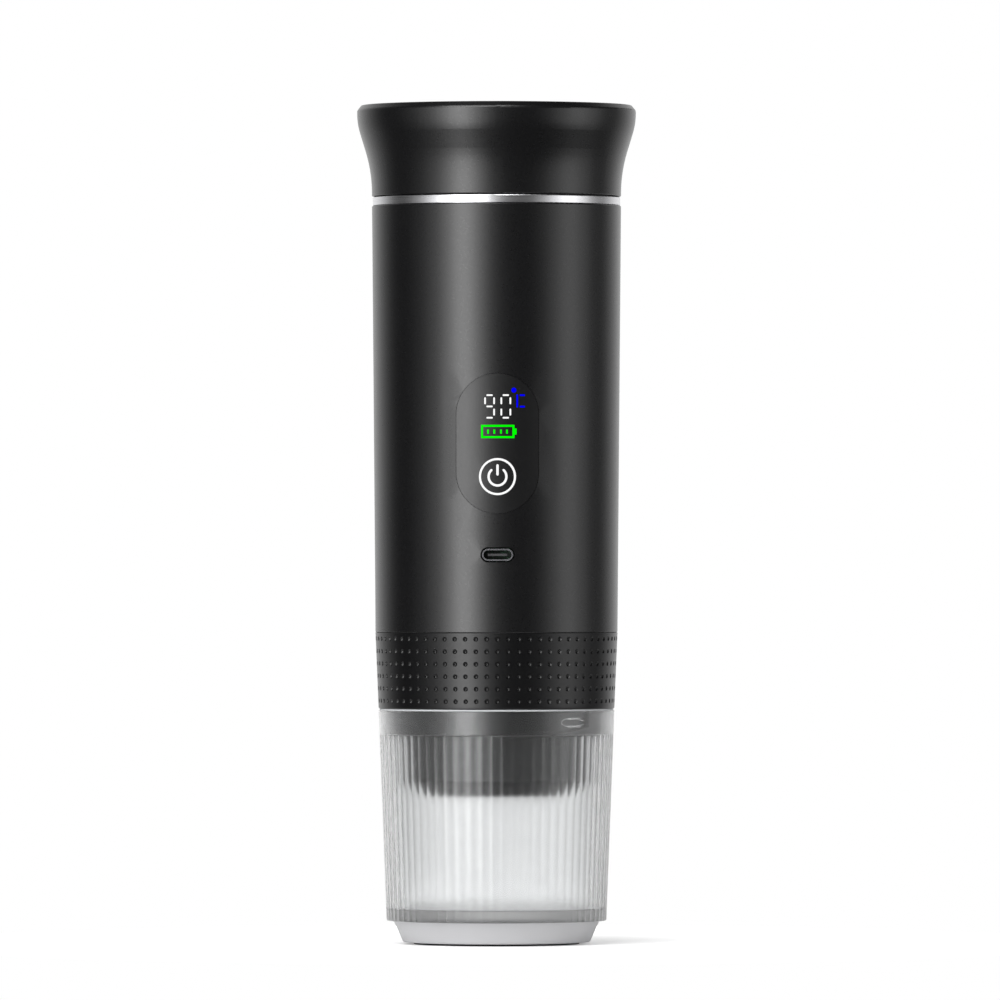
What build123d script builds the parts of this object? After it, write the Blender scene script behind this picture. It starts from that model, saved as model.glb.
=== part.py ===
"""Portable battery espresso maker, modelled piece by piece.

The maker stands on its drinking cup. Above the cup come the brew chamber with its grip sleeve, the
battery housing, a bright trim ring and a flared lid. The origin is on the table under the cup, +Z is
up and the control panel faces -Y. Lengths are millimetres and angles are degrees.
"""

import math
import os

from build123d import *

# Clearances and cutting overrun
FIT = 0.05
SLIP = 0.3
SEAL_GAP = 0.1
OVERRUN = 1.0

# Heights of the outside, from the table up
FOOT_PROUD = 0.6
BASE_H = 6.4
CUP_H = 63.0
CUP_SEAL_T = 0.45
GRIP_H = 22.75
GRIP_SEAM = 0.05
SHELL_H = 127.6
TRIM_H = 2.6
LID_SEAM = 0.25
LID_H = 27.25

# Radii of the outside
BASE_FOOT_R = 28.15
BASE_TOP_R = 30.85
CUP_FOOT_R = 32.9
CUP_RIM_R = 35.3
GRIP_FOOT_R = 35.3
GRIP_TOP_R = 36.25
SHELL_FOOT_R = 36.25
SHELL_TOP_R = 37.3
TRIM_INSET = 0.25
LID_FLARE = 4.45
EDGE_ROUND = 0.3

# Foot pad and cup base
PAD_R = 24.8
PAD_T = 1.4
BASE_BEVEL = 0.35
BASE_ROUND = 0.4

# Drinking cup
REED_COUNT = 72
REED_DEPTH = 0.32
RIM_BAND_H = 7.1
RIM_BAND_PROUD = 0.05
CUP_BORE_R = 33.4
CUP_WELL_R = 31.0
CUP_FLOOR_T = 3.6
CUP_FLOOR_ROUND = 0.8
CUP_SPIGOT_R = 26.0
CUP_SPIGOT_H = 3.0
CUP_SEAL_BORE_R = 33.05
LUG_COUNT = 2
LUG_ANGLE = -46.5
LUG_LENGTH = 10.0
LUG_HEIGHT = 2.7
LUG_REACH = 1.45
LUG_TIP_SHARE = 0.45
LUG_FLAT_SHARE = 0.62
LUG_DROP = 4.2
CUP_LEAD = 33.0
CHANNEL_DEPTH = 1.35
CHANNEL_END_TURN = 11.0
CHANNEL_ENTRY_TURN = 60.0

# Brew chamber, which carries the grip sleeve
CHAMBER_R = 33.5
BAYONET_R = 32.7
BAYONET_H = 7.6
CHAMBER_NECK_R = 27.4
CHAMBER_NECK_H = 13.9
CHAMBER_NECK_ROUND = 1.0
NOSE_R = 19.5
NOSE_H = 4.6
NOSE_ROUND = 8.0
OUTLET_R = 2.2
TRENCH_R = 31.6
TRENCH_DEPTH = 11.95

# Filter basket and the seal under its flange
BASKET_R = 22.4
BASKET_WALL = 0.6
BASKET_FLANGE_R = 24.8
BASKET_FLANGE_T = 0.8
BASKET_H = 30.2
BASKET_ROUND = 2.4
CHAMBER_SEAL_T = 1.5
CHAMBER_SEAL_R = 25.2
SIEVE_HOLE_R = 0.55
SIEVE_PITCH = 3.2
SIEVE_RINGS = 5
HOLES_PER_RING = 6

# Brew head
HEAD_SETBACK = 0.7
HEAD_T = 4.2
SKIRT_R = 30.0
SKIRT_BORE_R = 26.4
SKIRT_GAP = 0.7
BOSS_R = 22.0
BOSS_DROP = 0.5
GASKET_T = 3.2
FEED_R = 1.5
FEED_COUNT = 3
FEED_RING_R = 6.0
GALLERY_R = 7.6
GALLERY_H = 2.0
GALLERY_RISE = 6.0
SCREEN_R = 21.5
SCREEN_T = 0.8
SCREEN_RINGS = 5
SCREEN_SCREW_R = 1.2
SCREEN_SCREW_DEPTH = 4.0
SCREEN_HEAD_R = 2.4
SCREEN_HEAD_T = 1.2
DRIVE_SLOT_W = 0.6
DRIVE_SLOT_DEPTH = 0.6

# Coarse threads: ridges on the brew head and tank neck, lugs in the brew chamber and lid
RIDGE_HEIGHT = 1.2
RIDGE_ROOT_W = 2.0
RIDGE_TIP_W = 1.2
THREAD_LUG_ROOT_W = 1.7
THREAD_LUG_TIP_W = 1.0
THREAD_BITE = 0.3
THREAD_FLANK_GAP = 0.2
HEAD_STARTS = 4
HEAD_LEAD = 16.0
HEAD_RIDGE_TURN = 68.0
HEAD_RIDGE_RISE = 2.6
HEAD_LUG_TURN = 24.0
HEAD_LUG_OFFSET = 30.0
LID_STARTS = 3
LID_LEAD = 12.0
LID_RIDGE_TURN = 80.0
LID_RIDGE_RISE = 3.4
LID_LUG_TURN = 26.0
LID_LUG_OFFSET = 10.0

# Housing shell
SHELL_WALL = 2.2

# Control panel, light ring and power button, on the front of the shell
PANEL_W = 24.45
PANEL_H = 41.6
PANEL_RISE = 56.24
PANEL_T = 1.4
PANEL_SEAM = 0.12
PANEL_LEDGE = 1.6
BUTTON_INSET = 10.96
BUTTON_R = 4.77
BUTTON_T = 1.8
BUTTON_STEM_R = 1.8
BUTTON_TRAVEL = 0.4
BUTTON_GAP = 0.12
RING_W = 0.6
RING_DEPTH = 2.4

# Charging socket, on the front of the shell
USB_RISE = 23.2
USB_W = 9.24
USB_H = 3.6
USB_WALL = 0.46
USB_SETBACK = 0.35
USB_SLOT_GAP = 0.45
TONGUE_W = 5.7
TONGUE_T = 0.7
TONGUE_SETBACK = 1.2

# Tank collar, tank and heater
COLLAR_SKIRT_H = 9.0
NECK_INSET = 4.1
NECK_WALL = 1.75
NECK_RISE = 10.5
TRIM_GAP = 0.15
TANK_WALL = 0.8
TANK_RIM_INSET = 0.2
TANK_ROUND = 4.0
TANK_GASKET_T = 0.5
HEATER_INSET = 4.4
HEATER_T = 2.6
INSULATOR_BORE_R = 16.0
INSULATOR_T = 3.9
SENSOR_R = 2.0
SENSOR_L = 3.0
SENSOR_PLACE_R = 11.0

# Lid
FLARE_START = 7.25
FLARE_END = 21.85
FLARE_LOW_BLEND = 6.5
FLARE_HIGH_BLEND = 3.0
LID_BEVEL_W = 1.3
LID_BEVEL_H = 1.6
LID_RIM_ROUND = 1.2
LID_LIP_ROUND = 0.6
LID_RIM_W = 4.75
LID_PLATE_T = 1.4
LID_PLATE_DROP = 0.5
LID_BORE_DEPTH = 22.25
LINER_WALL = 1.2
LINER_SETBACK = 0.2
LINER_CEILING = 2.0
LID_SEAL_GAP = 0.4
LID_SEAL_W = 4.8
LID_SEAL_T = 2.2

# Chassis inside the shell
PLATE_GAP = 0.75
PLATE_T = 3.0
CELL_HEADROOM = 8.4
PUMP_HEADROOM = 4.5
PLATE_HOLE_R = 9.6
COLUMN_X = 14.0
COLUMN_W = 4.4
COLUMN_D = 4.5

# Main board and what it carries
BOARD_W = 34.0
BOARD_T = 1.6
BOARD_SETBACK = 8.05
BOARD_FOOT_GAP = 2.8
BOARD_HEAD_GAP = 4.5
DISPLAY_W = 16.0
DISPLAY_H = 15.0
DISPLAY_D = 5.6
DISPLAY_INSET = 10.44
SWITCH_W = 6.0
SWITCH_GAP = 0.15
BOARD_SCREW_R = 0.8
BOARD_SCREW_HEAD_R = 1.5
BOARD_SCREW_HEAD_T = 1.2
BOARD_SCREW_L = 3.4
BOARD_SCREW_INSET = 5.0

# Battery
CELL_R = 9.25
CELL_L = 65.2
CELL_INSET = 0.35
CELL_STEP = 52.0
CELL_COUNT = 3
REAR_ANGLE = 90.0
CRADLE_SETBACK = 0.1
CRADLE_BORE_R = 13.9
CRADLE_FRONT = 2.0
CRADLE_H = 6.0
CRADLE_FLOOR = 1.5
STRIP_W = 6.0
STRIP_T = 0.2

# Piston pump on the axis, and its hoses
SPIGOT_R = 3.0
HOSE_R = 4.2
HOSE_OVERLAP = 5.0
HEAD_SPIGOT_L = 5.8
TANK_SPIGOT_L = 10.0
BUTT_GAP = 0.4
PUMP_SPIGOT_L = 5.2
PUMP_MOUNT_R = 8.8
PUMP_CAP_R = 9.0
OUTLET_CAP_H = 9.0
INLET_CAP_H = 6.0
GUIDE_R = 7.0
GUIDE_BORE_R = 5.6
GUIDE_L = 42.0
COIL_R = 12.3
COIL_L = 30.0
YOKE_R = 13.2
YOKE_WALL = 0.8
YOKE_END_T = 1.6
PISTON_R = 5.5
PISTON_BORE_R = 1.5
PISTON_L = 18.0
SPRING_R = 4.5
SPRING_WIRE_R = 0.4
SPRING_TURNS = 5
SPRING_END_GAP = 0.15
VALVE_BALL_R = 2.0
VALVE_BORE_R = 2.3
VALVE_PORT_R = 1.3
VALVE_SEAT_RISE = 7.6
VALVE_SPRING_L = 3.0
VALVE_SPRING_R = 1.7
VALVE_WIRE_R = 0.22
VALVE_SPRING_TURNS = 3

# Wire leads from the heater, the winding and the battery to the main board
LEAD_R = 0.7
LEAD_BEND = 1.5
HEATER_LEAD_X = 3.0
HEATER_LEAD_BACK = 12.5
HEATER_LEAD_FRONT = 7.2
HEATER_LEAD_DROP = 2.4
HEATER_LEAD_INSET = 2.0
COIL_LEAD_X = 5.0
COIL_LEAD_Y = 9.4
COIL_LEAD_RISE = 3.4
CELL_LEAD_RISE = 5.0
CELL_LEAD_X = 9.0
CELL_LEAD_Y = 18.0
CELL_LEAD_DROP = 4.0

# Screws that hold the brew head to the chassis
HEAD_SCREW_COUNT = 4
HEAD_SCREW_ANGLE = 45.0
HEAD_SCREW_INSET = 1.55
HEAD_SCREW_R = 0.8
HEAD_SCREW_HEAD_R = 1.45
HEAD_SCREW_HEAD_T = 1.5
HEAD_SCREW_L = 5.2

# Levels, worked out from the sizes above
Z_BASE = FOOT_PROUD
Z_CUP = Z_BASE + BASE_H
Z_CUP_FLOOR = Z_CUP + CUP_FLOOR_T
Z_CUP_RIM = Z_CUP + CUP_H
Z_GRIP = Z_CUP_RIM + CUP_SEAL_T + FIT
Z_GRIP_TOP = Z_GRIP + GRIP_H
Z_SHELL = Z_GRIP_TOP + GRIP_SEAM
Z_SHELL_TOP = Z_SHELL + SHELL_H
Z_TRIM_TOP = Z_SHELL_TOP + TRIM_H
Z_LID = Z_TRIM_TOP + LID_SEAM
Z_TOP = Z_LID + LID_H
Z_BAYONET = Z_GRIP - BAYONET_H
Z_CHAMBER_NECK = Z_BAYONET - CHAMBER_NECK_H
Z_NOSE = Z_CHAMBER_NECK - NOSE_H
Z_TRENCH = Z_GRIP_TOP - TRENCH_DEPTH
Z_FLANGE = Z_TRENCH + CHAMBER_SEAL_T
Z_FLANGE_TOP = Z_FLANGE + BASKET_FLANGE_T
Z_SKIRT = Z_TRENCH + SKIRT_GAP
Z_GASKET = Z_FLANGE_TOP + SEAL_GAP
Z_GASKET_TOP = Z_GASKET + GASKET_T
Z_BOSS = Z_GASKET_TOP - BOSS_DROP
Z_HEAD = Z_SHELL + HEAD_SETBACK
Z_HEAD_TOP = Z_HEAD + HEAD_T
Z_PLATE_TOP = Z_HEAD_TOP + PLATE_T
Z_CELL = Z_PLATE_TOP + CRADLE_FLOOR + STRIP_T
Z_CELL_TOP = Z_CELL + CELL_L
Z_PUMP = Z_HEAD_TOP + HEAD_SPIGOT_L + BUTT_GAP
Z_OUTLET_CAP = Z_PUMP + PUMP_SPIGOT_L
Z_GUIDE = Z_OUTLET_CAP + OUTLET_CAP_H
Z_GUIDE_TOP = Z_GUIDE + GUIDE_L
Z_INLET_CAP_TOP = Z_GUIDE_TOP + INLET_CAP_H
Z_PUMP_TOP = Z_INLET_CAP_TOP + PUMP_SPIGOT_L
Z_PUMP_MIDDLE = Z_GUIDE + GUIDE_L / 2
Z_UPPER_PLATE = max(Z_CELL_TOP + CELL_HEADROOM, Z_PUMP_TOP + PUMP_HEADROOM)
Z_UPPER_TOP = Z_UPPER_PLATE + PLATE_T
Z_TANK_RIM = Z_TRIM_TOP + NECK_RISE
Z_TANK = Z_UPPER_TOP + INSULATOR_T + HEATER_T
Z_NECK_TOP = Z_TANK_RIM - TANK_WALL - TANK_GASKET_T
Z_LID_SEAL = Z_TANK_RIM + SEAL_GAP
Z_LINER_CEILING = Z_LID_SEAL + LID_SEAL_T + FIT
Z_PANEL = Z_SHELL + PANEL_RISE
Z_BUTTON = Z_PANEL - PANEL_H / 2 + BUTTON_INSET
Z_DISPLAY = Z_PANEL + PANEL_H / 2 - DISPLAY_INSET
Z_USB = Z_SHELL + USB_RISE
Z_VALVE_SEAT = Z_OUTLET_CAP + VALVE_SEAT_RISE
Z_VALVE_BALL = Z_VALVE_SEAT - math.sqrt(VALVE_BALL_R**2 - VALVE_PORT_R**2) - FIT
Z_VALVE_FOOT = Z_VALVE_BALL - VALVE_BALL_R - VALVE_SPRING_L

# Radii and places inside the outer shapes, worked out from the sizes above
SHELL_BORE_R = min(SHELL_FOOT_R, SHELL_TOP_R) - SHELL_WALL
FRONT_REACH = max(SHELL_FOOT_R, SHELL_TOP_R) + OVERRUN
PLATE_R = SHELL_BORE_R - PLATE_GAP
HEAD_SCREW_CIRCLE_R = PLATE_R - HEAD_SCREW_INSET
CRADLE_R = PLATE_R - CRADLE_SETBACK
CELL_CIRCLE_R = CRADLE_R - CELL_INSET - CELL_R
BOARD_BACK = SHELL_BORE_R - BOARD_SETBACK
BOARD_FRONT = -(BOARD_BACK + BOARD_T)
TRIM_R = SHELL_TOP_R - TRIM_INSET
NECK_R = SHELL_TOP_R - NECK_INSET
TANK_R = NECK_R - NECK_WALL - FIT
TANK_RIM_R = NECK_R - TANK_RIM_INSET
HEATER_R = TANK_R - HEATER_INSET
LID_SEAT_R = SHELL_TOP_R
LID_RIM_R = LID_SEAT_R + LID_FLARE
LID_PLATE_R = LID_RIM_R - LID_RIM_W
LINER_BORE_R = NECK_R + RIDGE_HEIGHT + SLIP
LINER_R = LINER_BORE_R + LINER_WALL
LID_SEAL_R = LINER_BORE_R - LID_SEAL_GAP
THREAD_LUG_STEP = (RIDGE_ROOT_W + THREAD_LUG_ROOT_W) / 2 + THREAD_FLANK_GAP

FULL_TURN = 360
UPRIGHT = (Align.CENTER, Align.CENTER, Align.MIN)


def disc(radius, low, high):
    """Cylinder on the Z axis between two heights."""
    return Pos(0, 0, low) * Cylinder(radius, high - low, align=UPRIGHT)


def tube(outer, inner, low, high):
    """Ring on the Z axis between two heights."""
    return disc(outer, low, high) - disc(inner, low - OVERRUN, high + OVERRUN)


def turned(points, radii=None):
    """Solid of revolution from a closed outline of (radius, height) points, with corner radii if given."""
    if radii is None:
        outline = Polyline(*points, close=True)
    else:
        outline = FilletPolyline(*points, radius=radii, close=True)
    return revolve(Plane.XZ * make_face(outline), axis=Axis.Z)


def block(x_low, x_high, y_low, y_high, z_low, z_high):
    """Box between two corners."""
    size = Box(x_high - x_low, y_high - y_low, z_high - z_low, align=(Align.MIN,) * 3)
    return Pos(x_low, y_low, z_low) * size


def front_rod(radius, back, front, height, x=0):
    """Rod that runs forwards, along -Y, from y = back to y = front."""
    return Pos(x, back, height) * Rot(90, 0, 0) * Cylinder(radius, back - front, align=UPRIGHT)


def front_slot(width, height, level):
    """Prism with round ends that runs forwards from the Z axis; the longer size may be either one."""
    if height > width:
        shape = SlotOverall(height, width, rotation=90)
    else:
        shape = SlotOverall(width, height)
    return extrude(Plane.XZ * Pos(0, level) * shape, amount=FRONT_REACH)


def round_axis(shape, count, start=0):
    """Copies of a shape spread evenly round the Z axis."""
    return [Rot(0, 0, start + FULL_TURN / count * k) * shape for k in range(count)]


def helical_bar(root, tip, root_w, tip_w, lead, height, start, turn):
    """Right-hand helical bar on a wall of radius root, standing out or in to radius tip."""
    bite = math.copysign(THREAD_BITE, root - tip)
    section = Polyline(
        (root + bite, -root_w / 2), (tip, -tip_w / 2), (tip, tip_w / 2), (root + bite, root_w / 2),
        close=True,
    )
    path = Edge.make_helix(lead, lead * turn / FULL_TURN, root)
    bar = sweep(Plane.XZ * make_face(section), path=path, is_frenet=True)
    return Pos(0, 0, height) * Rot(0, 0, start) * bar


def coil_spring(radius, wire, turns, low, high):
    """Open coil of round wire on the Z axis, whose wire lies between two heights."""
    rise = high - low - 2 * wire
    path = Edge.make_helix(rise / turns, rise, radius)
    section = Plane(path @ 0, z_dir=path % 0) * Circle(wire)
    return Pos(0, 0, low + wire) * sweep(section, path=path, is_frenet=True)


def shell_outer(height):
    """Outer radius of the housing shell, which widens evenly towards its top."""
    return SHELL_FOOT_R + (SHELL_TOP_R - SHELL_FOOT_R) * (height - Z_SHELL) / SHELL_H


def shell_layer(depth, thickness):
    """Layer of the shell's wall that starts at a depth under the outer face."""
    return turned(
        [
            (SHELL_FOOT_R - depth - thickness, Z_SHELL),
            (SHELL_FOOT_R - depth, Z_SHELL),
            (SHELL_TOP_R - depth, Z_SHELL_TOP),
            (SHELL_TOP_R - depth - thickness, Z_SHELL_TOP),
        ]
    )


def sieve_holes(rings, low, high):
    """Round holes on rings about the Z axis, evenly spread, with none at the centre."""
    holes = []
    for ring in range(1, rings + 1):
        hole = Pos(ring * SIEVE_PITCH, 0, 0) * disc(SIEVE_HOLE_R, low, high)
        holes += round_axis(hole, HOLES_PER_RING * ring)
    return holes


def foot_pad():
    """Soft disc let into the underside of the cup base."""
    return disc(PAD_R, 0, PAD_T)


def cup_base():
    """Tapered base that takes the cup's spigot above and the foot pad below."""
    pad_seat = PAD_R + FIT
    spigot_seat = CUP_SPIGOT_R + FIT
    points = [
        (0, PAD_T),
        (pad_seat, PAD_T),
        (pad_seat, Z_BASE),
        (BASE_FOOT_R - BASE_BEVEL, Z_BASE),
        (BASE_FOOT_R, Z_BASE + BASE_BEVEL),
        (BASE_TOP_R, Z_CUP),
        (spigot_seat, Z_CUP),
        (spigot_seat, Z_CUP - CUP_SPIGOT_H),
        (0, Z_CUP - CUP_SPIGOT_H),
    ]
    return turned(points, [0, 0, 0, BASE_ROUND, BASE_ROUND, 0, 0, 0, 0])


def reeded_face(crest, height):
    """Flat face whose edge is a ring of bowed reeds that touch the crest radius."""
    step = 2 * math.pi / REED_COUNT

    def point(radius, turns):
        return (radius * math.cos(turns * step), radius * math.sin(turns * step), height)

    valley = crest - REED_DEPTH
    arcs = [
        ThreePointArc(point(valley, k - 0.5), point(crest, k), point(valley, (k + 0.5) % REED_COUNT))
        for k in range(REED_COUNT)
    ]
    return make_face(arcs)


def cup_lug():
    """One lug on the cup's inner wall: a long level bar with tapered ends."""
    half_l = LUG_LENGTH / 2
    half_h = LUG_HEIGHT / 2
    flat = half_l * LUG_FLAT_SHARE
    tip = half_h * LUG_TIP_SHARE
    outline = Polyline(
        (-half_l, -tip), (-flat, -half_h), (flat, -half_h), (half_l, -tip),
        (half_l, tip), (flat, half_h), (-flat, half_h), (-half_l, tip), close=True,
    )
    reach = CUP_BORE_R + THREAD_BITE
    bar = extrude(Plane.YZ * make_face(outline), amount=reach)
    height = Z_GRIP - LUG_DROP
    tip_r = CUP_BORE_R - LUG_REACH
    wall = tube(reach, tip_r, height - LUG_LENGTH, height + LUG_LENGTH)
    return Rot(0, 0, LUG_ANGLE) * (Pos(0, 0, height) * bar & wall)


def cup_shell():
    """Clear drinking cup: reeds below, a plain band at the rim, and bayonet lugs inside that band."""
    band = Z_CUP_RIM - RIM_BAND_H
    crest = CUP_RIM_R - (CUP_RIM_R - CUP_FOOT_R) * RIM_BAND_H / CUP_H
    body = loft([reeded_face(CUP_FOOT_R, Z_CUP), reeded_face(crest, band)], ruled=True)
    body += turned([(0, band), (crest + RIM_BAND_PROUD, band), (CUP_RIM_R, Z_CUP_RIM), (0, Z_CUP_RIM)])
    well = turned(
        [
            (0, Z_CUP_FLOOR),
            (CUP_WELL_R, Z_CUP_FLOOR),
            (CUP_BORE_R, Z_CUP_RIM),
            (CUP_BORE_R, Z_CUP_RIM + OVERRUN),
            (0, Z_CUP_RIM + OVERRUN),
        ],
        [0, CUP_FLOOR_ROUND, 0, 0, 0],
    )
    spigot = disc(CUP_SPIGOT_R, Z_CUP - CUP_SPIGOT_H, Z_CUP)
    return body + spigot - well + round_axis(cup_lug(), LUG_COUNT)


def cup_seal():
    """Thin flat ring between the cup's rim and the grip sleeve."""
    return tube(CUP_RIM_R - REED_DEPTH, CUP_SEAL_BORE_R, Z_CUP_RIM, Z_CUP_RIM + CUP_SEAL_T)


def bayonet_channel():
    """Helical channel that lets one level cup lug down and out of the bayonet ring."""
    climb = CUP_LEAD / (2 * math.pi * (BAYONET_R - CHANNEL_DEPTH))
    width = LUG_HEIGHT + LUG_LENGTH * LUG_FLAT_SHARE * climb + 2 * SLIP
    turn = CHANNEL_END_TURN + CHANNEL_ENTRY_TURN
    low = Z_GRIP - LUG_DROP - CUP_LEAD * CHANNEL_ENTRY_TURN / FULL_TURN
    return helical_bar(
        BAYONET_R + OVERRUN, BAYONET_R - CHANNEL_DEPTH, width, width, CUP_LEAD, low,
        LUG_ANGLE - CHANNEL_ENTRY_TURN, turn,
    )


def brew_chamber():
    """Chamber that screws on to the brew head, holds the basket and ends in a bowl with the outlet."""
    well_r = BASKET_R + SLIP
    well_floor = Z_FLANGE - BASKET_H - SLIP
    points = [
        (OUTLET_R, Z_NOSE),
        (NOSE_R, Z_NOSE),
        (CHAMBER_NECK_R, Z_CHAMBER_NECK),
        (CHAMBER_NECK_R, Z_BAYONET),
        (BAYONET_R, Z_BAYONET),
        (BAYONET_R, Z_GRIP),
        (CHAMBER_R, Z_GRIP),
        (CHAMBER_R, Z_GRIP_TOP),
        (TRENCH_R, Z_GRIP_TOP),
        (TRENCH_R, Z_TRENCH),
        (well_r, Z_TRENCH),
        (well_r, well_floor),
        (OUTLET_R, well_floor),
    ]
    radii = [0, NOSE_ROUND, CHAMBER_NECK_ROUND, 0, 0, 0, 0, 0, 0, 0, 0, 0, 0]
    body = turned(points, radii) - round_axis(bayonet_channel(), LUG_COUNT)
    turn = HEAD_LUG_OFFSET * HEAD_LEAD / FULL_TURN
    lug = helical_bar(
        TRENCH_R, SKIRT_R + SLIP, THREAD_LUG_ROOT_W, THREAD_LUG_TIP_W, HEAD_LEAD,
        Z_SKIRT + HEAD_RIDGE_RISE + turn + THREAD_LUG_STEP, HEAD_LUG_OFFSET, HEAD_LUG_TURN,
    )
    return body + round_axis(lug, HEAD_STARTS)


def grip_sleeve():
    """Grip sleeve bonded on to the brew chamber."""
    bore = CHAMBER_R + FIT
    points = [(bore, Z_GRIP), (GRIP_FOOT_R, Z_GRIP), (GRIP_TOP_R, Z_GRIP_TOP), (bore, Z_GRIP_TOP)]
    return turned(points, [0, EDGE_ROUND, EDGE_ROUND, 0])


def chamber_seal():
    """Flat ring in the chamber, under the basket's flange."""
    return tube(CHAMBER_SEAL_R, BASKET_R + SLIP, Z_TRENCH, Z_FLANGE)


def filter_basket():
    """Pressed steel basket with a flange and a sieve floor."""
    floor = Z_FLANGE - BASKET_H
    inner = BASKET_R - BASKET_WALL
    points = [
        (0, floor),
        (BASKET_R, floor),
        (BASKET_R, Z_FLANGE),
        (BASKET_FLANGE_R, Z_FLANGE),
        (BASKET_FLANGE_R, Z_FLANGE_TOP),
        (inner, Z_FLANGE_TOP),
        (inner, floor + BASKET_WALL),
        (0, floor + BASKET_WALL),
    ]
    body = turned(points, [0, BASKET_ROUND, 0, 0, 0, 0, BASKET_ROUND - BASKET_WALL, 0])
    return body - sieve_holes(SIEVE_RINGS, floor - OVERRUN, floor + BASKET_WALL + OVERRUN)


def head_screw_places(shape):
    """Copies of a shape at the places of the screws through the brew head's flange."""
    return round_axis(Pos(HEAD_SCREW_CIRCLE_R, 0, 0) * shape, HEAD_SCREW_COUNT, HEAD_SCREW_ANGLE)


def brew_head():
    """Head that closes the housing's foot, feeds water to the screen and carries the chamber's thread."""
    flange_r = shell_outer(Z_HEAD) - SHELL_WALL - FIT
    spigot_top = Z_HEAD_TOP + HEAD_SPIGOT_L
    body = turned(
        [
            (0, Z_BOSS),
            (BOSS_R, Z_BOSS),
            (BOSS_R, Z_GASKET_TOP),
            (SKIRT_BORE_R, Z_GASKET_TOP),
            (SKIRT_BORE_R, Z_SKIRT),
            (SKIRT_R, Z_SKIRT),
            (SKIRT_R, Z_HEAD),
            (flange_r, Z_HEAD),
            (flange_r, Z_HEAD_TOP),
            (SPIGOT_R, Z_HEAD_TOP),
            (SPIGOT_R, spigot_top),
            (0, spigot_top),
        ]
    )
    gallery = Z_BOSS + GALLERY_RISE
    body -= disc(FEED_R, gallery, spigot_top + OVERRUN)
    body -= disc(GALLERY_R, gallery, gallery + GALLERY_H)
    feed = Pos(FEED_RING_R, 0, 0) * disc(FEED_R, Z_BOSS - OVERRUN, gallery + GALLERY_H / 2)
    body -= round_axis(feed, FEED_COUNT)
    body -= disc(SCREEN_SCREW_R + FIT, Z_BOSS - OVERRUN, Z_BOSS + SCREEN_SCREW_DEPTH)
    body -= head_screw_places(disc(HEAD_SCREW_R + FIT, Z_HEAD - OVERRUN, Z_HEAD_TOP + OVERRUN))
    body -= head_screw_places(disc(HEAD_SCREW_HEAD_R + FIT, Z_HEAD - OVERRUN, Z_HEAD + HEAD_SCREW_HEAD_T))
    ridge = helical_bar(
        SKIRT_R, SKIRT_R + RIDGE_HEIGHT, RIDGE_ROOT_W, RIDGE_TIP_W, HEAD_LEAD, Z_SKIRT + HEAD_RIDGE_RISE, 0,
        HEAD_RIDGE_TURN,
    )
    return body + round_axis(ridge, HEAD_STARTS)


def head_screws():
    """Cap screws that hold the brew head to the chassis."""
    screw = disc(HEAD_SCREW_R, Z_HEAD, Z_HEAD + HEAD_SCREW_L)
    screw += disc(HEAD_SCREW_HEAD_R, Z_HEAD, Z_HEAD + HEAD_SCREW_HEAD_T)
    screw -= disc(HEAD_SCREW_R, Z_HEAD - OVERRUN, Z_HEAD + HEAD_SCREW_HEAD_T / 2)
    return Compound(children=head_screw_places(screw))


def head_gasket():
    """Brew gasket that the basket's flange is pressed against."""
    return tube(SKIRT_BORE_R - FIT, BOSS_R + FIT, Z_GASKET, Z_GASKET_TOP)


def shower_screen():
    """Perforated disc under the brew head's boss."""
    low = Z_BOSS - SCREEN_T
    body = disc(SCREEN_R, low, Z_BOSS)
    body -= sieve_holes(SCREEN_RINGS, low - OVERRUN, Z_BOSS + OVERRUN)
    return body - disc(SCREEN_SCREW_R + FIT, low - OVERRUN, Z_BOSS + OVERRUN)


def screen_screw():
    """Slotted screw that holds the shower screen."""
    seat = Z_BOSS - SCREEN_T
    low = seat - SCREEN_HEAD_T
    body = disc(SCREEN_SCREW_R, seat, Z_BOSS + SCREEN_SCREW_DEPTH - SLIP) + disc(SCREEN_HEAD_R, low, seat)
    half = DRIVE_SLOT_W / 2
    return body - block(-SCREEN_HEAD_R, SCREEN_HEAD_R, -half, half, low, low + DRIVE_SLOT_DEPTH)


def window_slot(margin):
    """Prism of the control panel's outline, grown by a margin on every side."""
    return front_slot(PANEL_W + 2 * margin, PANEL_H + 2 * margin, Z_PANEL)


def usb_slot(margin):
    """Prism of the charging socket's outline, grown by a margin on every side."""
    return front_slot(USB_W + 2 * margin, USB_H + 2 * margin, Z_USB)


def body_shell():
    """Drafted housing tube with a stepped window for the panel and a slot for the charging socket."""
    points = [
        (SHELL_FOOT_R - SHELL_WALL, Z_SHELL),
        (SHELL_FOOT_R, Z_SHELL),
        (SHELL_TOP_R, Z_SHELL_TOP),
        (SHELL_TOP_R - SHELL_WALL, Z_SHELL_TOP),
    ]
    body = turned(points, [0, EDGE_ROUND, EDGE_ROUND, 0])
    seat = shell_layer(-OVERRUN, PANEL_T + FIT + OVERRUN) & window_slot(PANEL_SEAM)
    return body - seat - window_slot(-PANEL_LEDGE) - usb_slot(USB_SLOT_GAP)


def control_panel():
    """Curved panel, flush with the shell, with a round hole for the button and its light ring."""
    hole = front_rod(BUTTON_R + BUTTON_GAP + RING_W + FIT, 0, -FRONT_REACH, Z_BUTTON)
    return (shell_layer(0, PANEL_T) & window_slot(0)) - hole


def button_light_ring():
    """Light guide between the panel and the power button."""
    bore = BUTTON_R + BUTTON_GAP
    reach = -FRONT_REACH
    ring = front_rod(bore + RING_W, 0, reach, Z_BUTTON)
    ring -= front_rod(bore, OVERRUN, reach - OVERRUN, Z_BUTTON)
    return ring & shell_layer(0, RING_DEPTH)


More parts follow.
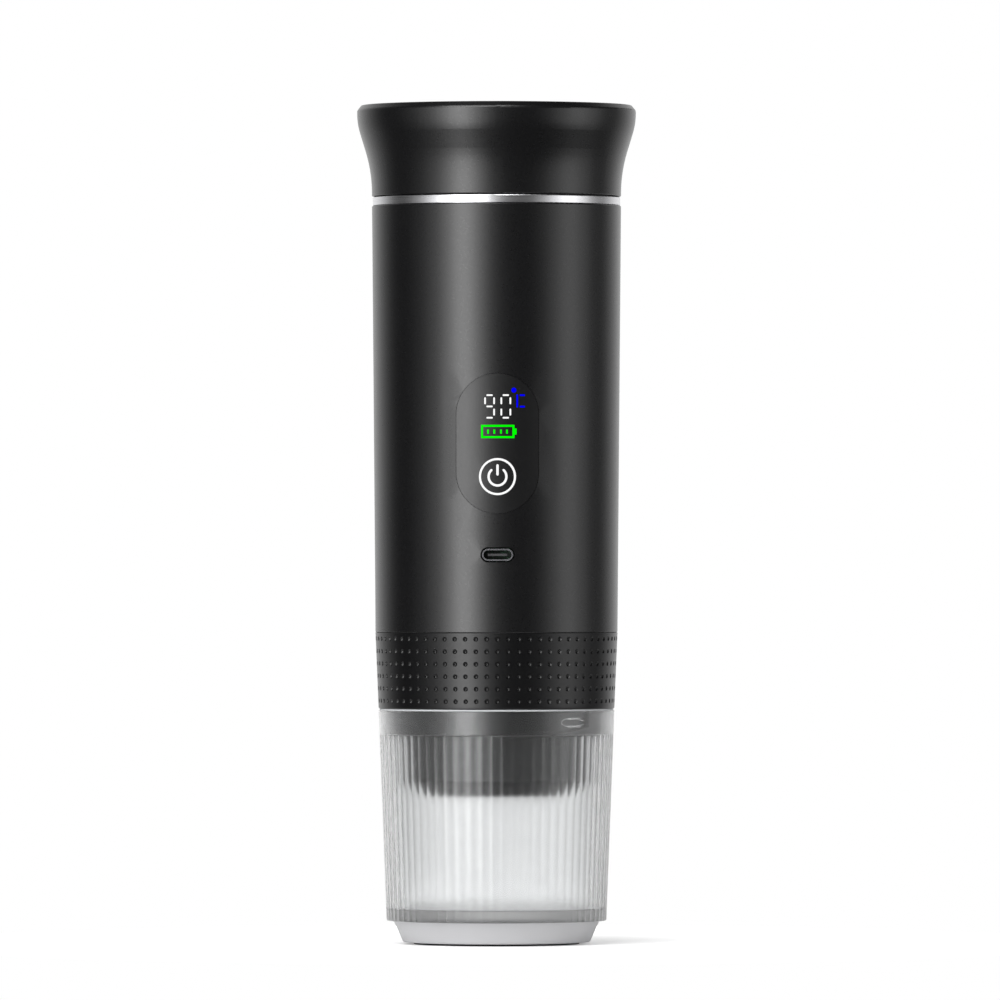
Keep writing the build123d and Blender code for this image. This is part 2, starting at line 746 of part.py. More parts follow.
def switch_front():
    """How far forwards the press switch stands: clear of the button's stem at full travel."""
    return BOARD_FRONT - SWITCH_W / 2


def power_button():
    """Round key whose stem stops short of the press switch by its travel and a small gap."""
    cap = front_rod(BUTTON_R, 0, -FRONT_REACH, Z_BUTTON) & shell_layer(0, BUTTON_T)
    back = switch_front() - BUTTON_TRAVEL - SWITCH_GAP
    stem = front_rod(BUTTON_STEM_R, back, BUTTON_T / 2 - shell_outer(Z_BUTTON), Z_BUTTON)
    return cap + stem


def press_switch():
    """Square press switch on the main board, behind the power button."""
    half = SWITCH_W / 2
    return block(-half, half, switch_front(), BOARD_FRONT, Z_BUTTON - half, Z_BUTTON + half)


def socket_front():
    """How far forwards the charging socket's mouth stands."""
    return USB_SETBACK - shell_outer(Z_USB)


def usb_shell():
    """Metal shell of the charging socket, from the main board to just inside the housing's face."""
    depth = block(-USB_W, USB_W, socket_front(), BOARD_FRONT, Z_USB - USB_H, Z_USB + USB_H)
    return (usb_slot(0) - usb_slot(-USB_WALL)) & depth


def usb_tongue():
    """Contact tongue in the middle of the charging socket."""
    half_w = TONGUE_W / 2
    half_t = TONGUE_T / 2
    front = socket_front() + TONGUE_SETBACK
    return block(-half_w, half_w, front, BOARD_FRONT, Z_USB - half_t, Z_USB + half_t)


def display_module():
    """Light-emitting display block on the main board, behind the panel."""
    half_w = DISPLAY_W / 2
    half_h = DISPLAY_H / 2
    front = BOARD_FRONT - DISPLAY_D
    return block(-half_w, half_w, front, BOARD_FRONT, Z_DISPLAY - half_h, Z_DISPLAY + half_h)


def board_screw_places():
    """X and Z of each screw through the main board."""
    low = Z_PLATE_TOP + BOARD_FOOT_GAP + BOARD_SCREW_INSET
    high = Z_UPPER_PLATE - BOARD_HEAD_GAP - BOARD_SCREW_INSET
    return [(x, z) for x in (-COLUMN_X, COLUMN_X) for z in (low, high)]


def main_board():
    """Circuit board that stands behind the panel, on the chassis columns."""
    half = BOARD_W / 2
    low = Z_PLATE_TOP + BOARD_FOOT_GAP
    body = block(-half, half, BOARD_FRONT, -BOARD_BACK, low, Z_UPPER_PLATE - BOARD_HEAD_GAP)
    for x, z in board_screw_places():
        body -= front_rod(BOARD_SCREW_R + FIT, -BOARD_BACK + OVERRUN, BOARD_FRONT - OVERRUN, z, x)
    return body


def board_screws():
    """Pan-head screws that hold the main board to the chassis columns."""
    screws = []
    for x, z in board_screw_places():
        shank = front_rod(BOARD_SCREW_R, BOARD_FRONT + BOARD_SCREW_L, BOARD_FRONT, z, x)
        head = front_rod(BOARD_SCREW_HEAD_R, BOARD_FRONT, BOARD_FRONT - BOARD_SCREW_HEAD_T, z, x)
        screws.append(shank + head)
    return Compound(children=screws)


def chassis():
    """Two round plates joined by two columns that carry the main board."""
    body = tube(PLATE_R, PLATE_HOLE_R, Z_HEAD_TOP, Z_PLATE_TOP)
    body += tube(PLATE_R, PLATE_HOLE_R, Z_UPPER_PLATE, Z_UPPER_TOP)
    for x in (-COLUMN_X, COLUMN_X):
        half = COLUMN_W / 2
        body += block(x - half, x + half, -BOARD_BACK, COLUMN_D - BOARD_BACK, Z_HEAD_TOP, Z_UPPER_TOP)
    for x, z in board_screw_places():
        body -= front_rod(BOARD_SCREW_R + FIT, COLUMN_D - BOARD_BACK, -BOARD_BACK - OVERRUN, z, x)
    return body - head_screw_places(disc(HEAD_SCREW_R + FIT, Z_HEAD_TOP - OVERRUN, Z_PLATE_TOP + OVERRUN))


def cell_angles():
    """Angle of each battery cell round the Z axis, centred on the rear."""
    return [REAR_ANGLE + CELL_STEP * (k - (CELL_COUNT - 1) / 2) for k in range(CELL_COUNT)]


def at_cell(angle, shape):
    """A shape made on the Z axis, moved to the place of the cell at an angle."""
    return Rot(0, 0, angle) * Pos(CELL_CIRCLE_R, 0, 0) * shape


def battery_cell(angle):
    """One round battery cell."""
    body = turned(
        [(0, Z_CELL), (CELL_R, Z_CELL), (CELL_R, Z_CELL_TOP), (0, Z_CELL_TOP)],
        [0, EDGE_ROUND, EDGE_ROUND, 0],
    )
    return at_cell(angle, body)


def strips(margin):
    """Bars that join neighbouring cells, one at the foot and one at the top, grown by a margin."""
    half = math.radians(CELL_STEP / 2)
    length = 2 * CELL_CIRCLE_R * math.sin(half) + 2 * margin
    bar = Box(STRIP_W + 2 * margin, length, STRIP_T + 2 * margin, align=UPRIGHT)
    bar = Pos(CELL_CIRCLE_R * math.cos(half), 0, -margin) * bar
    levels = (Z_CELL - STRIP_T, Z_CELL_TOP)
    angles = cell_angles()
    return [Rot(0, 0, angle + CELL_STEP / 2) * Pos(0, 0, low) * bar for low, angle in zip(levels, angles)]


def battery_cradle(low, pocket_low, pocket_high):
    """Moulded end holder for the cells, with a pocket for each between two heights."""
    high = low + CRADLE_H
    body = tube(CRADLE_R, CRADLE_BORE_R, low, high)
    body &= block(-CRADLE_R, CRADLE_R, CRADLE_FRONT, CRADLE_R, low, high)
    for angle in cell_angles():
        body -= at_cell(angle, disc(CELL_R + FIT, pocket_low, pocket_high))
    return body - strips(FIT)


def battery_cradle_lower():
    """Cell holder that stands on the chassis."""
    return battery_cradle(Z_PLATE_TOP, Z_CELL - STRIP_T, Z_CELL_TOP)


def battery_cradle_upper():
    """Cell holder that caps the cells, with a hole for each battery lead."""
    ceiling = Z_CELL_TOP + STRIP_T
    body = battery_cradle(ceiling + CRADLE_FLOOR - CRADLE_H, Z_CELL, ceiling)
    hole = disc(LEAD_R + FIT, Z_CELL_TOP, ceiling + CRADLE_FLOOR + OVERRUN)
    return body - [at_cell(angle, hole) for angle in (cell_angles()[0], cell_angles()[-1])]


def battery_strips():
    """Welded strips that join neighbouring cells."""
    return Compound(children=strips(0))


def water_tank():
    """Drawn steel tank with a rolled rim and an outlet spigot in its floor."""
    inner = TANK_R - TANK_WALL
    bore = SPIGOT_R - TANK_WALL
    spigot = Z_TANK - TANK_SPIGOT_L
    points = [
        (bore, spigot),
        (SPIGOT_R, spigot),
        (SPIGOT_R, Z_TANK),
        (TANK_R, Z_TANK),
        (TANK_R, Z_TANK_RIM - TANK_WALL),
        (TANK_RIM_R, Z_TANK_RIM - TANK_WALL),
        (TANK_RIM_R, Z_TANK_RIM),
        (inner, Z_TANK_RIM),
        (inner, Z_TANK + TANK_WALL),
        (bore, Z_TANK + TANK_WALL),
    ]
    return turned(points, [0, 0, 0, TANK_ROUND, 0, 0, 0, EDGE_ROUND, TANK_ROUND - TANK_WALL, 0])


def tank_collar():
    """Collar inside the shell's top that carries the tank and the lid's thread."""
    low = Z_SHELL_TOP - COLLAR_SKIRT_H
    shoulder = shell_outer(low) - SHELL_WALL - FIT
    bore = TANK_R + FIT
    body = turned(
        [
            (bore, low),
            (shoulder, low),
            (shoulder, Z_SHELL_TOP),
            (NECK_R, Z_SHELL_TOP),
            (NECK_R, Z_NECK_TOP),
            (bore, Z_NECK_TOP),
        ]
    )
    ridge = helical_bar(
        NECK_R, NECK_R + RIDGE_HEIGHT, RIDGE_ROOT_W, RIDGE_TIP_W, LID_LEAD, Z_TRIM_TOP + LID_RIDGE_RISE, 0,
        LID_RIDGE_TURN,
    )
    return body + round_axis(ridge, LID_STARTS)


def tank_gasket():
    """Flat ring between the collar and the tank's rim."""
    return tube(TANK_RIM_R, TANK_R + FIT, Z_NECK_TOP, Z_NECK_TOP + TANK_GASKET_T)


def trim_ring():
    """Bright ring on the shell's top edge, under the lid."""
    bore = NECK_R + TRIM_GAP
    points = [(bore, Z_SHELL_TOP), (TRIM_R, Z_SHELL_TOP), (TRIM_R, Z_TRIM_TOP), (bore, Z_TRIM_TOP)]
    return turned(points, [0, EDGE_ROUND, EDGE_ROUND, 0])


def heater_plate():
    """Heating plate bonded under the tank's floor, with a hole for the outlet spigot."""
    return tube(HEATER_R, SPIGOT_R + SLIP, Z_TANK - HEATER_T, Z_TANK)


def heater_insulator():
    """Insulating ring that the heating plate stands on."""
    return tube(HEATER_R, INSULATOR_BORE_R, Z_UPPER_TOP, Z_TANK - HEATER_T)


def temp_sensor():
    """Temperature sensor pressed against the heating plate."""
    high = Z_TANK - HEATER_T
    return Pos(SENSOR_PLACE_R, 0, 0) * disc(SENSOR_R, high - SENSOR_L, high)


def inlet_hose():
    """Silicone hose from the tank's outlet spigot to the pump's inlet spigot."""
    return tube(HOSE_R, SPIGOT_R + FIT, Z_INLET_CAP_TOP, Z_TANK - TANK_SPIGOT_L + HOSE_OVERLAP)


def outlet_hose():
    """Silicone hose from the pump's outlet spigot to the brew head's spigot."""
    return tube(HOSE_R, SPIGOT_R + FIT, Z_HEAD_TOP + BUTT_GAP, Z_OUTLET_CAP)


def pump_mount():
    """Soft bush that the pump stands on, inside the chassis plate's hole."""
    return tube(PUMP_MOUNT_R, HOSE_R + SLIP, Z_HEAD_TOP, Z_OUTLET_CAP)


def pump_outlet_cap():
    """Pump end with the outlet spigot and the seat and bore of the check valve."""
    body = disc(PUMP_CAP_R, Z_OUTLET_CAP, Z_GUIDE) + disc(SPIGOT_R, Z_PUMP, Z_OUTLET_CAP)
    body -= disc(VALVE_PORT_R, Z_PUMP - OVERRUN, Z_GUIDE + OVERRUN)
    return body - disc(VALVE_BORE_R, Z_VALVE_FOOT, Z_VALVE_SEAT)


def valve_ball():
    """Ball that shuts the pump's outlet between strokes."""
    return Pos(0, 0, Z_VALVE_BALL) * Sphere(VALVE_BALL_R)


def valve_spring():
    """Small spring that holds the ball against its seat."""
    high = Z_VALVE_BALL - VALVE_BALL_R - FIT
    return coil_spring(VALVE_SPRING_R, VALVE_WIRE_R, VALVE_SPRING_TURNS, Z_VALVE_FOOT + FIT, high)


def pump_guide():
    """Guide tube that the piston slides in."""
    return tube(GUIDE_R, GUIDE_BORE_R, Z_GUIDE, Z_GUIDE_TOP)


def pump_inlet_cap():
    """Pump end with the inlet spigot."""
    body = disc(PUMP_CAP_R, Z_GUIDE_TOP, Z_INLET_CAP_TOP) + disc(SPIGOT_R, Z_INLET_CAP_TOP, Z_PUMP_TOP)
    return body - disc(VALVE_PORT_R, Z_GUIDE_TOP - OVERRUN, Z_PUMP_TOP + OVERRUN)


def pump_coil():
    """Copper winding round the guide tube."""
    half = COIL_L / 2
    return tube(COIL_R, GUIDE_R + FIT, Z_PUMP_MIDDLE - half, Z_PUMP_MIDDLE + half)


def pump_yoke():
    """Steel can round the winding, with end plates that grip the guide tube."""
    half = COIL_L / 2 + FIT
    low = Z_PUMP_MIDDLE - half
    high = Z_PUMP_MIDDLE + half
    bore = GUIDE_R + FIT
    body = tube(YOKE_R, bore, low - YOKE_END_T, high + YOKE_END_T)
    body -= disc(YOKE_R - YOKE_WALL, low, high)
    for x in (-COIL_LEAD_X, COIL_LEAD_X):
        body -= Pos(x, -COIL_LEAD_Y, 0) * disc(LEAD_R + FIT, high - OVERRUN, high + YOKE_END_T + OVERRUN)
    return body


def pump_piston():
    """Magnetic piston, bored through, that the winding drives against its springs."""
    half = PISTON_L / 2
    return tube(PISTON_R, PISTON_BORE_R, Z_PUMP_MIDDLE - half, Z_PUMP_MIDDLE + half)


def drive_spring():
    """Spring under the piston."""
    high = Z_PUMP_MIDDLE - PISTON_L / 2 - SPRING_END_GAP
    return coil_spring(SPRING_R, SPRING_WIRE_R, SPRING_TURNS, Z_GUIDE + SPRING_END_GAP, high)


def buffer_spring():
    """Spring above the piston."""
    low = Z_PUMP_MIDDLE + PISTON_L / 2 + SPRING_END_GAP
    return coil_spring(SPRING_R, SPRING_WIRE_R, SPRING_TURNS, low, Z_GUIDE_TOP - SPRING_END_GAP)


def lead(points):
    """Round wire lead along straight runs with soft bends."""
    path = FilletPolyline(*points, radius=LEAD_BEND)
    return sweep(Plane(path @ 0, z_dir=path % 0) * Circle(LEAD_R), path=path)


def heater_leads():
    """Leads from the heating plate, through the chassis plate, to the main board."""
    top = Z_TANK - HEATER_T
    turn = top - HEATER_LEAD_DROP
    level = Z_UPPER_PLATE - BOARD_HEAD_GAP - HEATER_LEAD_INSET
    runs = []
    for x in (-HEATER_LEAD_X, HEATER_LEAD_X):
        runs.append(
            lead([
                (x, -HEATER_LEAD_BACK, top), (x, -HEATER_LEAD_BACK, turn), (x, -HEATER_LEAD_FRONT, turn),
                (x, -HEATER_LEAD_FRONT, level), (x, -BOARD_BACK, level),
            ])
        )
    return Compound(children=runs)


def coil_leads():
    """Leads from the pump's winding to the main board."""
    low = Z_PUMP_MIDDLE + COIL_L / 2
    level = low + YOKE_END_T + COIL_LEAD_RISE
    runs = []
    for x in (-COIL_LEAD_X, COIL_LEAD_X):
        runs.append(lead([(x, -COIL_LEAD_Y, low), (x, -COIL_LEAD_Y, level), (x, -BOARD_BACK, level)]))
    return Compound(children=runs)


def battery_leads():
    """Leads from the outer cells, over the cradle, to the main board."""
    level = Z_CELL_TOP + CELL_LEAD_RISE
    low = level - CELL_LEAD_DROP
    angle = math.radians(CELL_STEP * (CELL_COUNT - 1) / 2)
    runs = []
    for side in (-1, 1):
        cell = (side * CELL_CIRCLE_R * math.sin(angle), CELL_CIRCLE_R * math.cos(angle))
        x = side * CELL_LEAD_X
        runs.append(
            lead([
                (*cell, Z_CELL_TOP + STRIP_T), (*cell, level), (x, -CELL_LEAD_Y, level),
                (x, -CELL_LEAD_Y, low), (x, -BOARD_BACK, low),
            ])
        )
    return Compound(children=runs)


def lid_shell():
    """Flared lid with a deep bore for its liner and a shallow seat for its top plate."""
    seat_r = LID_PLATE_R + FIT
    seat = Z_TOP - LID_PLATE_T - LID_PLATE_DROP
    bore = LINER_R + FIT
    ceiling = Z_LID + LID_BORE_DEPTH
    points = [
        (bore, Z_LID),
        (LID_SEAT_R, Z_LID),
        (LID_SEAT_R, Z_LID + FLARE_START),
        (LID_RIM_R, Z_LID + FLARE_END),
        (LID_RIM_R, Z_TOP - LID_BEVEL_H),
        (LID_RIM_R - LID_BEVEL_W, Z_TOP),
        (seat_r, Z_TOP),
        (seat_r, seat),
        (0, seat),
        (0, ceiling),
        (bore, ceiling),
    ]
    half_bend = math.atan2(LID_FLARE, FLARE_END - FLARE_START) / 2
    low_curve = FLARE_LOW_BLEND / math.tan(half_bend)
    high_curve = FLARE_HIGH_BLEND / math.tan(half_bend)
    radii = [0, EDGE_ROUND, low_curve, high_curve, LID_RIM_ROUND, LID_LIP_ROUND, LID_LIP_ROUND, 0, 0, 0, 0]
    return turned(points, radii)


def lid_top_plate():
    """Inset disc on top of the lid."""
    low = Z_TOP - LID_PLATE_T - LID_PLATE_DROP
    high = low + LID_PLATE_T
    return turned([(0, low), (LID_PLATE_R, low), (LID_PLATE_R, high), (0, high)], [0, 0, EDGE_ROUND, 0])


def lid_liner():
    """Inner cap of the lid, whose lugs run under the ridges of the tank's neck."""
    low = Z_LID + LINER_SETBACK
    high = Z_LINER_CEILING + LINER_CEILING
    body = turned(
        [
            (LINER_BORE_R, low),
            (LINER_R, low),
            (LINER_R, high),
            (0, high),
            (0, Z_LINER_CEILING),
            (LINER_BORE_R, Z_LINER_CEILING),
        ]
    )
    turn = LID_LUG_OFFSET * LID_LEAD / FULL_TURN
    lug = helical_bar(
        LINER_BORE_R, NECK_R + SLIP, THREAD_LUG_ROOT_W, THREAD_LUG_TIP_W, LID_LEAD,
        Z_TRIM_TOP + LID_RIDGE_RISE + turn - THREAD_LUG_STEP, LID_LUG_OFFSET, LID_LUG_TURN,
    )
    return body + round_axis(lug, LID_STARTS)


def lid_seal():
    """Flat ring in the lid that closes on the tank's rim."""
    return tube(LID_SEAL_R, LID_SEAL_R - LID_SEAL_W, Z_LID_SEAL, Z_LID_SEAL + LID_SEAL_T)


def pieces():
    """Every piece by name."""
    made = {
        "foot_pad": foot_pad(),
        "cup_base": cup_base(),
        "cup_shell": cup_shell(),
        "cup_seal": cup_seal(),
        "brew_chamber": brew_chamber(),
        "grip_sleeve": grip_sleeve(),
        "chamber_seal": chamber_seal(),
        "filter_basket": filter_basket(),
        "brew_head": brew_head(),
        "head_screws": head_screws(),
        "head_gasket": head_gasket(),
        "shower_screen": shower_screen(),
        "screen_screw": screen_screw(),
        "body_shell": body_shell(),
        "control_panel": control_panel(),
        "button_light_ring": button_light_ring(),
        "power_button": power_button(),
        "press_switch": press_switch(),
        "usb_shell": usb_shell(),
        "usb_tongue": usb_tongue(),
        "display_module": display_module(),
        "main_board": main_board(),
        "board_screws": board_screws(),
        "chassis": chassis(),
        "battery_cradle_lower": battery_cradle_lower(),
        "battery_cradle_upper": battery_cradle_upper(),
        "battery_strips": battery_strips(),
        "water_tank": water_tank(),
        "tank_collar": tank_collar(),
        "tank_gasket": tank_gasket(),
        "trim_ring": trim_ring(),
        "heater_plate": heater_plate(),
        "heater_insulator": heater_insulator(),
        "temp_sensor": temp_sensor(),
        "inlet_hose": inlet_hose(),
        "outlet_hose": outlet_hose(),
        "pump_mount": pump_mount(),
        "pump_outlet_cap": pump_outlet_cap(),
        "valve_ball": valve_ball(),
        "valve_spring": valve_spring(),
        "pump_guide": pump_guide(),
        "pump_inlet_cap": pump_inlet_cap(),
        "pump_coil": pump_coil(),
        "pump_yoke": pump_yoke(),
        "pump_piston": pump_piston(),
        "drive_spring": drive_spring(),
        "buffer_spring": buffer_spring(),
        "heater_leads": heater_leads(),
        "coil_leads": coil_leads(),
        "battery_leads": battery_leads(),
        "lid_shell": lid_shell(),
        "lid_top_plate": lid_top_plate(),
        "lid_liner": lid_liner(),
        "lid_seal": lid_seal(),
    }
    for number, angle in enumerate(cell_angles(), start=1):
        made[f"battery_cell_{number}"] = battery_cell(angle)
    return made


os.makedirs("parts", exist_ok=True)
for name, shape in pieces().items():
    export_step(shape, f"parts/{name}.step")
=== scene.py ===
"""Looks of a portable espresso maker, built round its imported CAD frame.

The CAD nodes keep their shapes and get real finishes. The fluted cup, the dimpled grip sleeve and the pump's springs
are replaced by finer surfaces, and the lit signs on the front panel are added. Lengths are in millimetres, and in the
studio in metres.
"""

import logging
import math
from dataclasses import dataclass, replace
from enum import Enum
from typing import Any

import bpy
import numpy as np
from bpy.types import Material, Node, NodeSocket, NodeTree, Object, World
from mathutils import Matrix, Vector


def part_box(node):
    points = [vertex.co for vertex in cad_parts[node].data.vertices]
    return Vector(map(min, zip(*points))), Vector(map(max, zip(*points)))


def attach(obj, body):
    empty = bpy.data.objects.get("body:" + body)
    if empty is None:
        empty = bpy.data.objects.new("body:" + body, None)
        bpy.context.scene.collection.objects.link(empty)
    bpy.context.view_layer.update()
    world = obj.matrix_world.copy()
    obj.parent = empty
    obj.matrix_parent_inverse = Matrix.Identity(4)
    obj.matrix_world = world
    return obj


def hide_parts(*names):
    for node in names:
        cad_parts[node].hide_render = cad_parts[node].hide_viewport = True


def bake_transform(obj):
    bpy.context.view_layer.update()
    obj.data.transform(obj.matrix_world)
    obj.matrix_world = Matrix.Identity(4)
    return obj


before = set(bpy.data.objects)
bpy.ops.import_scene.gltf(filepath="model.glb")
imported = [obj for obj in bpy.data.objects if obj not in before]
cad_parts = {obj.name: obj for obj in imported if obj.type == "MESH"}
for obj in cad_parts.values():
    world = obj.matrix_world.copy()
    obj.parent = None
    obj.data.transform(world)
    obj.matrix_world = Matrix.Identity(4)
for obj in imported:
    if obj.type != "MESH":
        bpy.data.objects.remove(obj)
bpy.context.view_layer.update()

Pair = tuple[float, float]
Floats = tuple[float, ...]

LOG = logging.getLogger("espresso_maker")
MM = 0.001
WHITE = "#ffffff"
# Most values of a noise texture lie between these.
NOISE_SPAN = (0.3, 0.7)
# Patterns that run along the height are laid out at this radius, and see this share of the height.
ALONG_RADIUS, ALONG_SHARE = 34.0, 0.01
# A wave texture turns by this many radians over one unit of its coordinates.
WAVE_RATE = 20.0
# A rectangular lamp takes this many watts per square metre to look white.
LAMP_POWER = 4.0


def linear(code: str) -> Floats:
    """Turns an sRGB hex colour into the linear colour that shaders use.

    Args:
        code: Colour as "#rrggbb".

    Returns:
        Linear red, green, blue and an alpha of one.
    """
    parts = np.array([int(code[i:i + 2], 16) for i in (1, 3, 5)]) / 255
    curve = np.where(parts <= 0.04045, parts / 12.92, ((parts + 0.055) / 1.055) ** 2.4)
    return (*curve.tolist(), 1.0)


def per_mm(size: float) -> float:
    """Texture scale on Object coordinates for a pattern whose features are size millimetres apart."""
    return 1.0 / (size * MM)


def add_node(tree: NodeTree, kind: str, sockets: dict[Any, Any], **settings: str) -> Node:
    """Adds one shader node with its settings, values and links.

    Args:
        tree: Node tree that takes the node.
        kind: Blender's name for the node.
        sockets: Input name or place, with a plain value or the output socket that feeds it.
        **settings: Properties of the node.

    Returns:
        The new node.
    """
    node = tree.nodes.new(kind)
    for key, value in settings.items():
        setattr(node, key, value)
    for key, value in sockets.items():
        if isinstance(value, NodeSocket):
            tree.links.new(value, node.inputs[key])
        else:
            node.inputs[key].default_value = value
    return node


def calc(tree: NodeTree, operation: str, first: Any, second: Any) -> NodeSocket:
    """Adds one math node on two values or sockets, and gives its output."""
    return add_node(tree, "ShaderNodeMath", {0: first, 1: second}, operation=operation).outputs[0]


def ramp(tree: NodeTree, value: NodeSocket, span: Pair, ends: Pair, shape: str = "SMOOTHSTEP") -> NodeSocket:
    """Maps a span of values to two ends, and stays level outside it."""
    sockets = {"Value": value, "From Min": span[0], "From Max": span[1], "To Min": ends[0], "To Max": ends[1]}
    return add_node(tree, "ShaderNodeMapRange", sockets, interpolation_type=shape).outputs["Result"]


def empty_tree(owner: Material | World) -> NodeTree:
    """Turns on the nodes of a material or world, and clears them away."""
    owner.use_nodes = True
    owner.node_tree.nodes.clear()
    return owner.node_tree


class Grain(Enum):
    """Which way the fine relief of a surface runs."""

    EVEN = "even"
    AROUND = "around"
    ALONG = "along"


@dataclass(frozen=True)
class Finish:
    """One real finish: two close tones in patches, and a fine relief that also varies the gloss.

    Attributes:
        name: Real material and how its surface was made.
        colour: Main sRGB colour.
        tone: Second sRGB colour of the patches.
        patch: Size of the patches in millimetres.
        rough: Lowest and highest roughness.
        grain: Size of the fine relief in millimetres.
        relief: Height of the fine relief in millimetres.
        run: Which way the relief runs.
        metallic: One for a bare metal.
        extras: Other plain values of the shader's sockets.
    """

    name: str
    colour: str
    tone: str
    patch: float
    rough: Pair
    grain: float
    relief: float
    run: Grain = Grain.EVEN
    metallic: float = 0.0
    extras: tuple[tuple[str, float], ...] = ()

    def place(self, tree: NodeTree) -> NodeSocket:
        """Gives the coordinates that the patterns read.

        Even patterns read the plain Object coordinates. Patterns that run around read distance from the axis and
        height only. Patterns that run along read the arc length round a set radius, with a small share of the height.

        Args:
            tree: The material's node tree.

        Returns:
            A vector socket, in metres.
        """
        spot = add_node(tree, "ShaderNodeTexCoord", {}).outputs["Object"]
        if self.run is Grain.EVEN:
            return spot
        x, y, z = add_node(tree, "ShaderNodeSeparateXYZ", {"Vector": spot}).outputs
        if self.run is Grain.AROUND:
            flat = add_node(tree, "ShaderNodeVectorMath", {0: spot, 1: (1.0, 1.0, 0.0)}, operation="MULTIPLY")
            reach = add_node(tree, "ShaderNodeVectorMath", {0: flat.outputs["Vector"]}, operation="LENGTH")
            ends = {"X": reach.outputs["Value"], "Z": z}
        else:
            arc = calc(tree, "MULTIPLY", calc(tree, "ARCTAN2", y, x), ALONG_RADIUS * MM)
            ends = {"X": arc, "Z": calc(tree, "MULTIPLY", z, ALONG_SHARE)}
        return add_node(tree, "ShaderNodeCombineXYZ", ends).outputs["Vector"]

    def share(self, tree: NodeTree, place: NodeSocket) -> NodeSocket:
        """Gives the share of the second tone, by soft patches."""
        sockets = {"Vector": place, "Scale": per_mm(self.patch), "Detail": 3.0}
        return add_node(tree, "ShaderNodeTexNoise", sockets).outputs["Fac"]

    def sockets(self) -> dict[str, Any]:
        """Gives the plain values of the shader's other sockets."""
        return dict(self.extras)

    def inside(self, tree: NodeTree) -> dict[str, NodeSocket]:
        """Gives what fills the piece, as sockets of the output node: nothing here."""
        return {}

    def material(self) -> Material:
        """Draws the finish, unless a material of this name is there already.

        Returns:
            The material.
        """
        made = bpy.data.materials.get(self.name)
        if made is not None:
            return made
        made = bpy.data.materials.new(self.name)
        tree = empty_tree(made)
        place = self.place(tree)
        tones = {0: self.share(tree, place), 6: linear(self.colour), 7: linear(self.tone)}
        relief = {"Vector": place, "Scale": per_mm(self.grain), "Detail": 2.0, "Roughness": 0.55}
        fine = add_node(tree, "ShaderNodeTexNoise", relief).outputs["Fac"]
        bump = add_node(tree, "ShaderNodeBump", {"Height": fine, "Distance": self.relief * MM, "Strength": 1.0})
        shader = add_node(tree, "ShaderNodeBsdfPrincipled", {
            "Base Color": add_node(tree, "ShaderNodeMix", tones, data_type="RGBA").outputs[2],
            "Roughness": ramp(tree, fine, NOISE_SPAN, self.rough, "LINEAR"), "Metallic": self.metallic,
            "Normal": bump.outputs["Normal"], **self.sockets(),
        })
        add_node(tree, "ShaderNodeOutputMaterial", {"Surface": shader.outputs["BSDF"], **self.inside(tree)})
        return made

    def dress(self, piece: Object) -> None:
        """Puts the finish on every material slot of a piece."""
        if not piece.material_slots:
            piece.data.materials.append(None)
        for place in piece.material_slots:
            place.material = self.material()


@dataclass(frozen=True)
class LitFinish(Finish):
    """A milky light guide lit from behind.

    Attributes:
        light: Colour that shines through it.
        glow: Strength of that light, where one is white.
    """

    light: str = WHITE
    glow: float = 1.0

    def sockets(self) -> dict[str, Any]:
        """Adds the light to the plain values."""
        return {**super().sockets(), "Emission Color": linear(self.light), "Emission Strength": self.glow}


@dataclass(frozen=True)
class ClearFinish(Finish):
    """A clear moulding that takes up a little light over its thickness.

    Attributes:
        smoke: Density of the plain absorption, per metre.
        hue: Colour that the absorption leaves.
    """

    smoke: float = 0.0
    hue: str = WHITE

    def inside(self, tree: NodeTree) -> dict[str, NodeSocket]:
        """Fills the piece with even absorption."""
        sockets = {"Color": linear(self.hue), "Density": self.smoke}
        return {"Volume": add_node(tree, "ShaderNodeVolumeAbsorption", sockets).outputs["Volume"]}


@dataclass(frozen=True)
class WoundFinish(Finish):
    """Enamelled wire in layers: a wave along the height paints lighter and darker bands across them, as painted light
    and shade of the round turns.

    Attributes:
        wave: Height over which the wave turns by one radian, in millimetres.
        bend: How far the wave strays.
    """

    wave: float = 0.45
    bend: float = 0.4

    def share(self, tree: NodeTree, place: NodeSocket) -> NodeSocket:
        """Gives the share of the second, darker tone, which is painted shade, by a wave along Z."""
        sockets = {"Vector": place, "Scale": per_mm(self.wave) / WAVE_RATE, "Distortion": self.bend}
        return add_node(tree, "ShaderNodeTexWave", sockets, bands_direction="Z").outputs["Fac"]


@dataclass(frozen=True)
class BoardFinish(Finish):
    """Solder mask over copper tracks: thin cell borders stand for the tracks.

    Attributes:
        track: Size of the cells in millimetres.
        border: Distances from a border, in cells, where the track ends and where the mask begins.
        random: How uneven the cells are.
    """

    track: float = 3.5
    border: Pair = (0.03, 0.07)
    random: float = 0.6

    def share(self, tree: NodeTree, place: NodeSocket) -> NodeSocket:
        """Gives the share of the second tone, which is full on the borders."""
        sockets = {"Vector": place, "Scale": per_mm(self.track), "Randomness": self.random}
        cells = add_node(tree, "ShaderNodeTexVoronoi", sockets, feature="DISTANCE_TO_EDGE")
        return ramp(tree, cells.outputs["Distance"], self.border, (1.0, 0.0), "LINEAR")


# Soft-touch lacquer sprayed on ABS: nearly black, silky, with an orange peel drawn large enough to show.
SOFT_TOUCH = Finish(
    "soft_touch_lacquer_on_abs", "#0a0a0b", "#0d0d0e", 11.0, (0.27, 0.31), 0.7, 0.002, extras=(("IOR", 1.55),)
)
# Spark-textured moulded ABS of the grip: a little darker and more matt than the lacquer.
GRIP_ABS = Finish("spark_textured_abs", "#070708", "#0a0a0b", 8.0, (0.28, 0.33), 0.6, 0.002, extras=(("IOR", 1.45),))
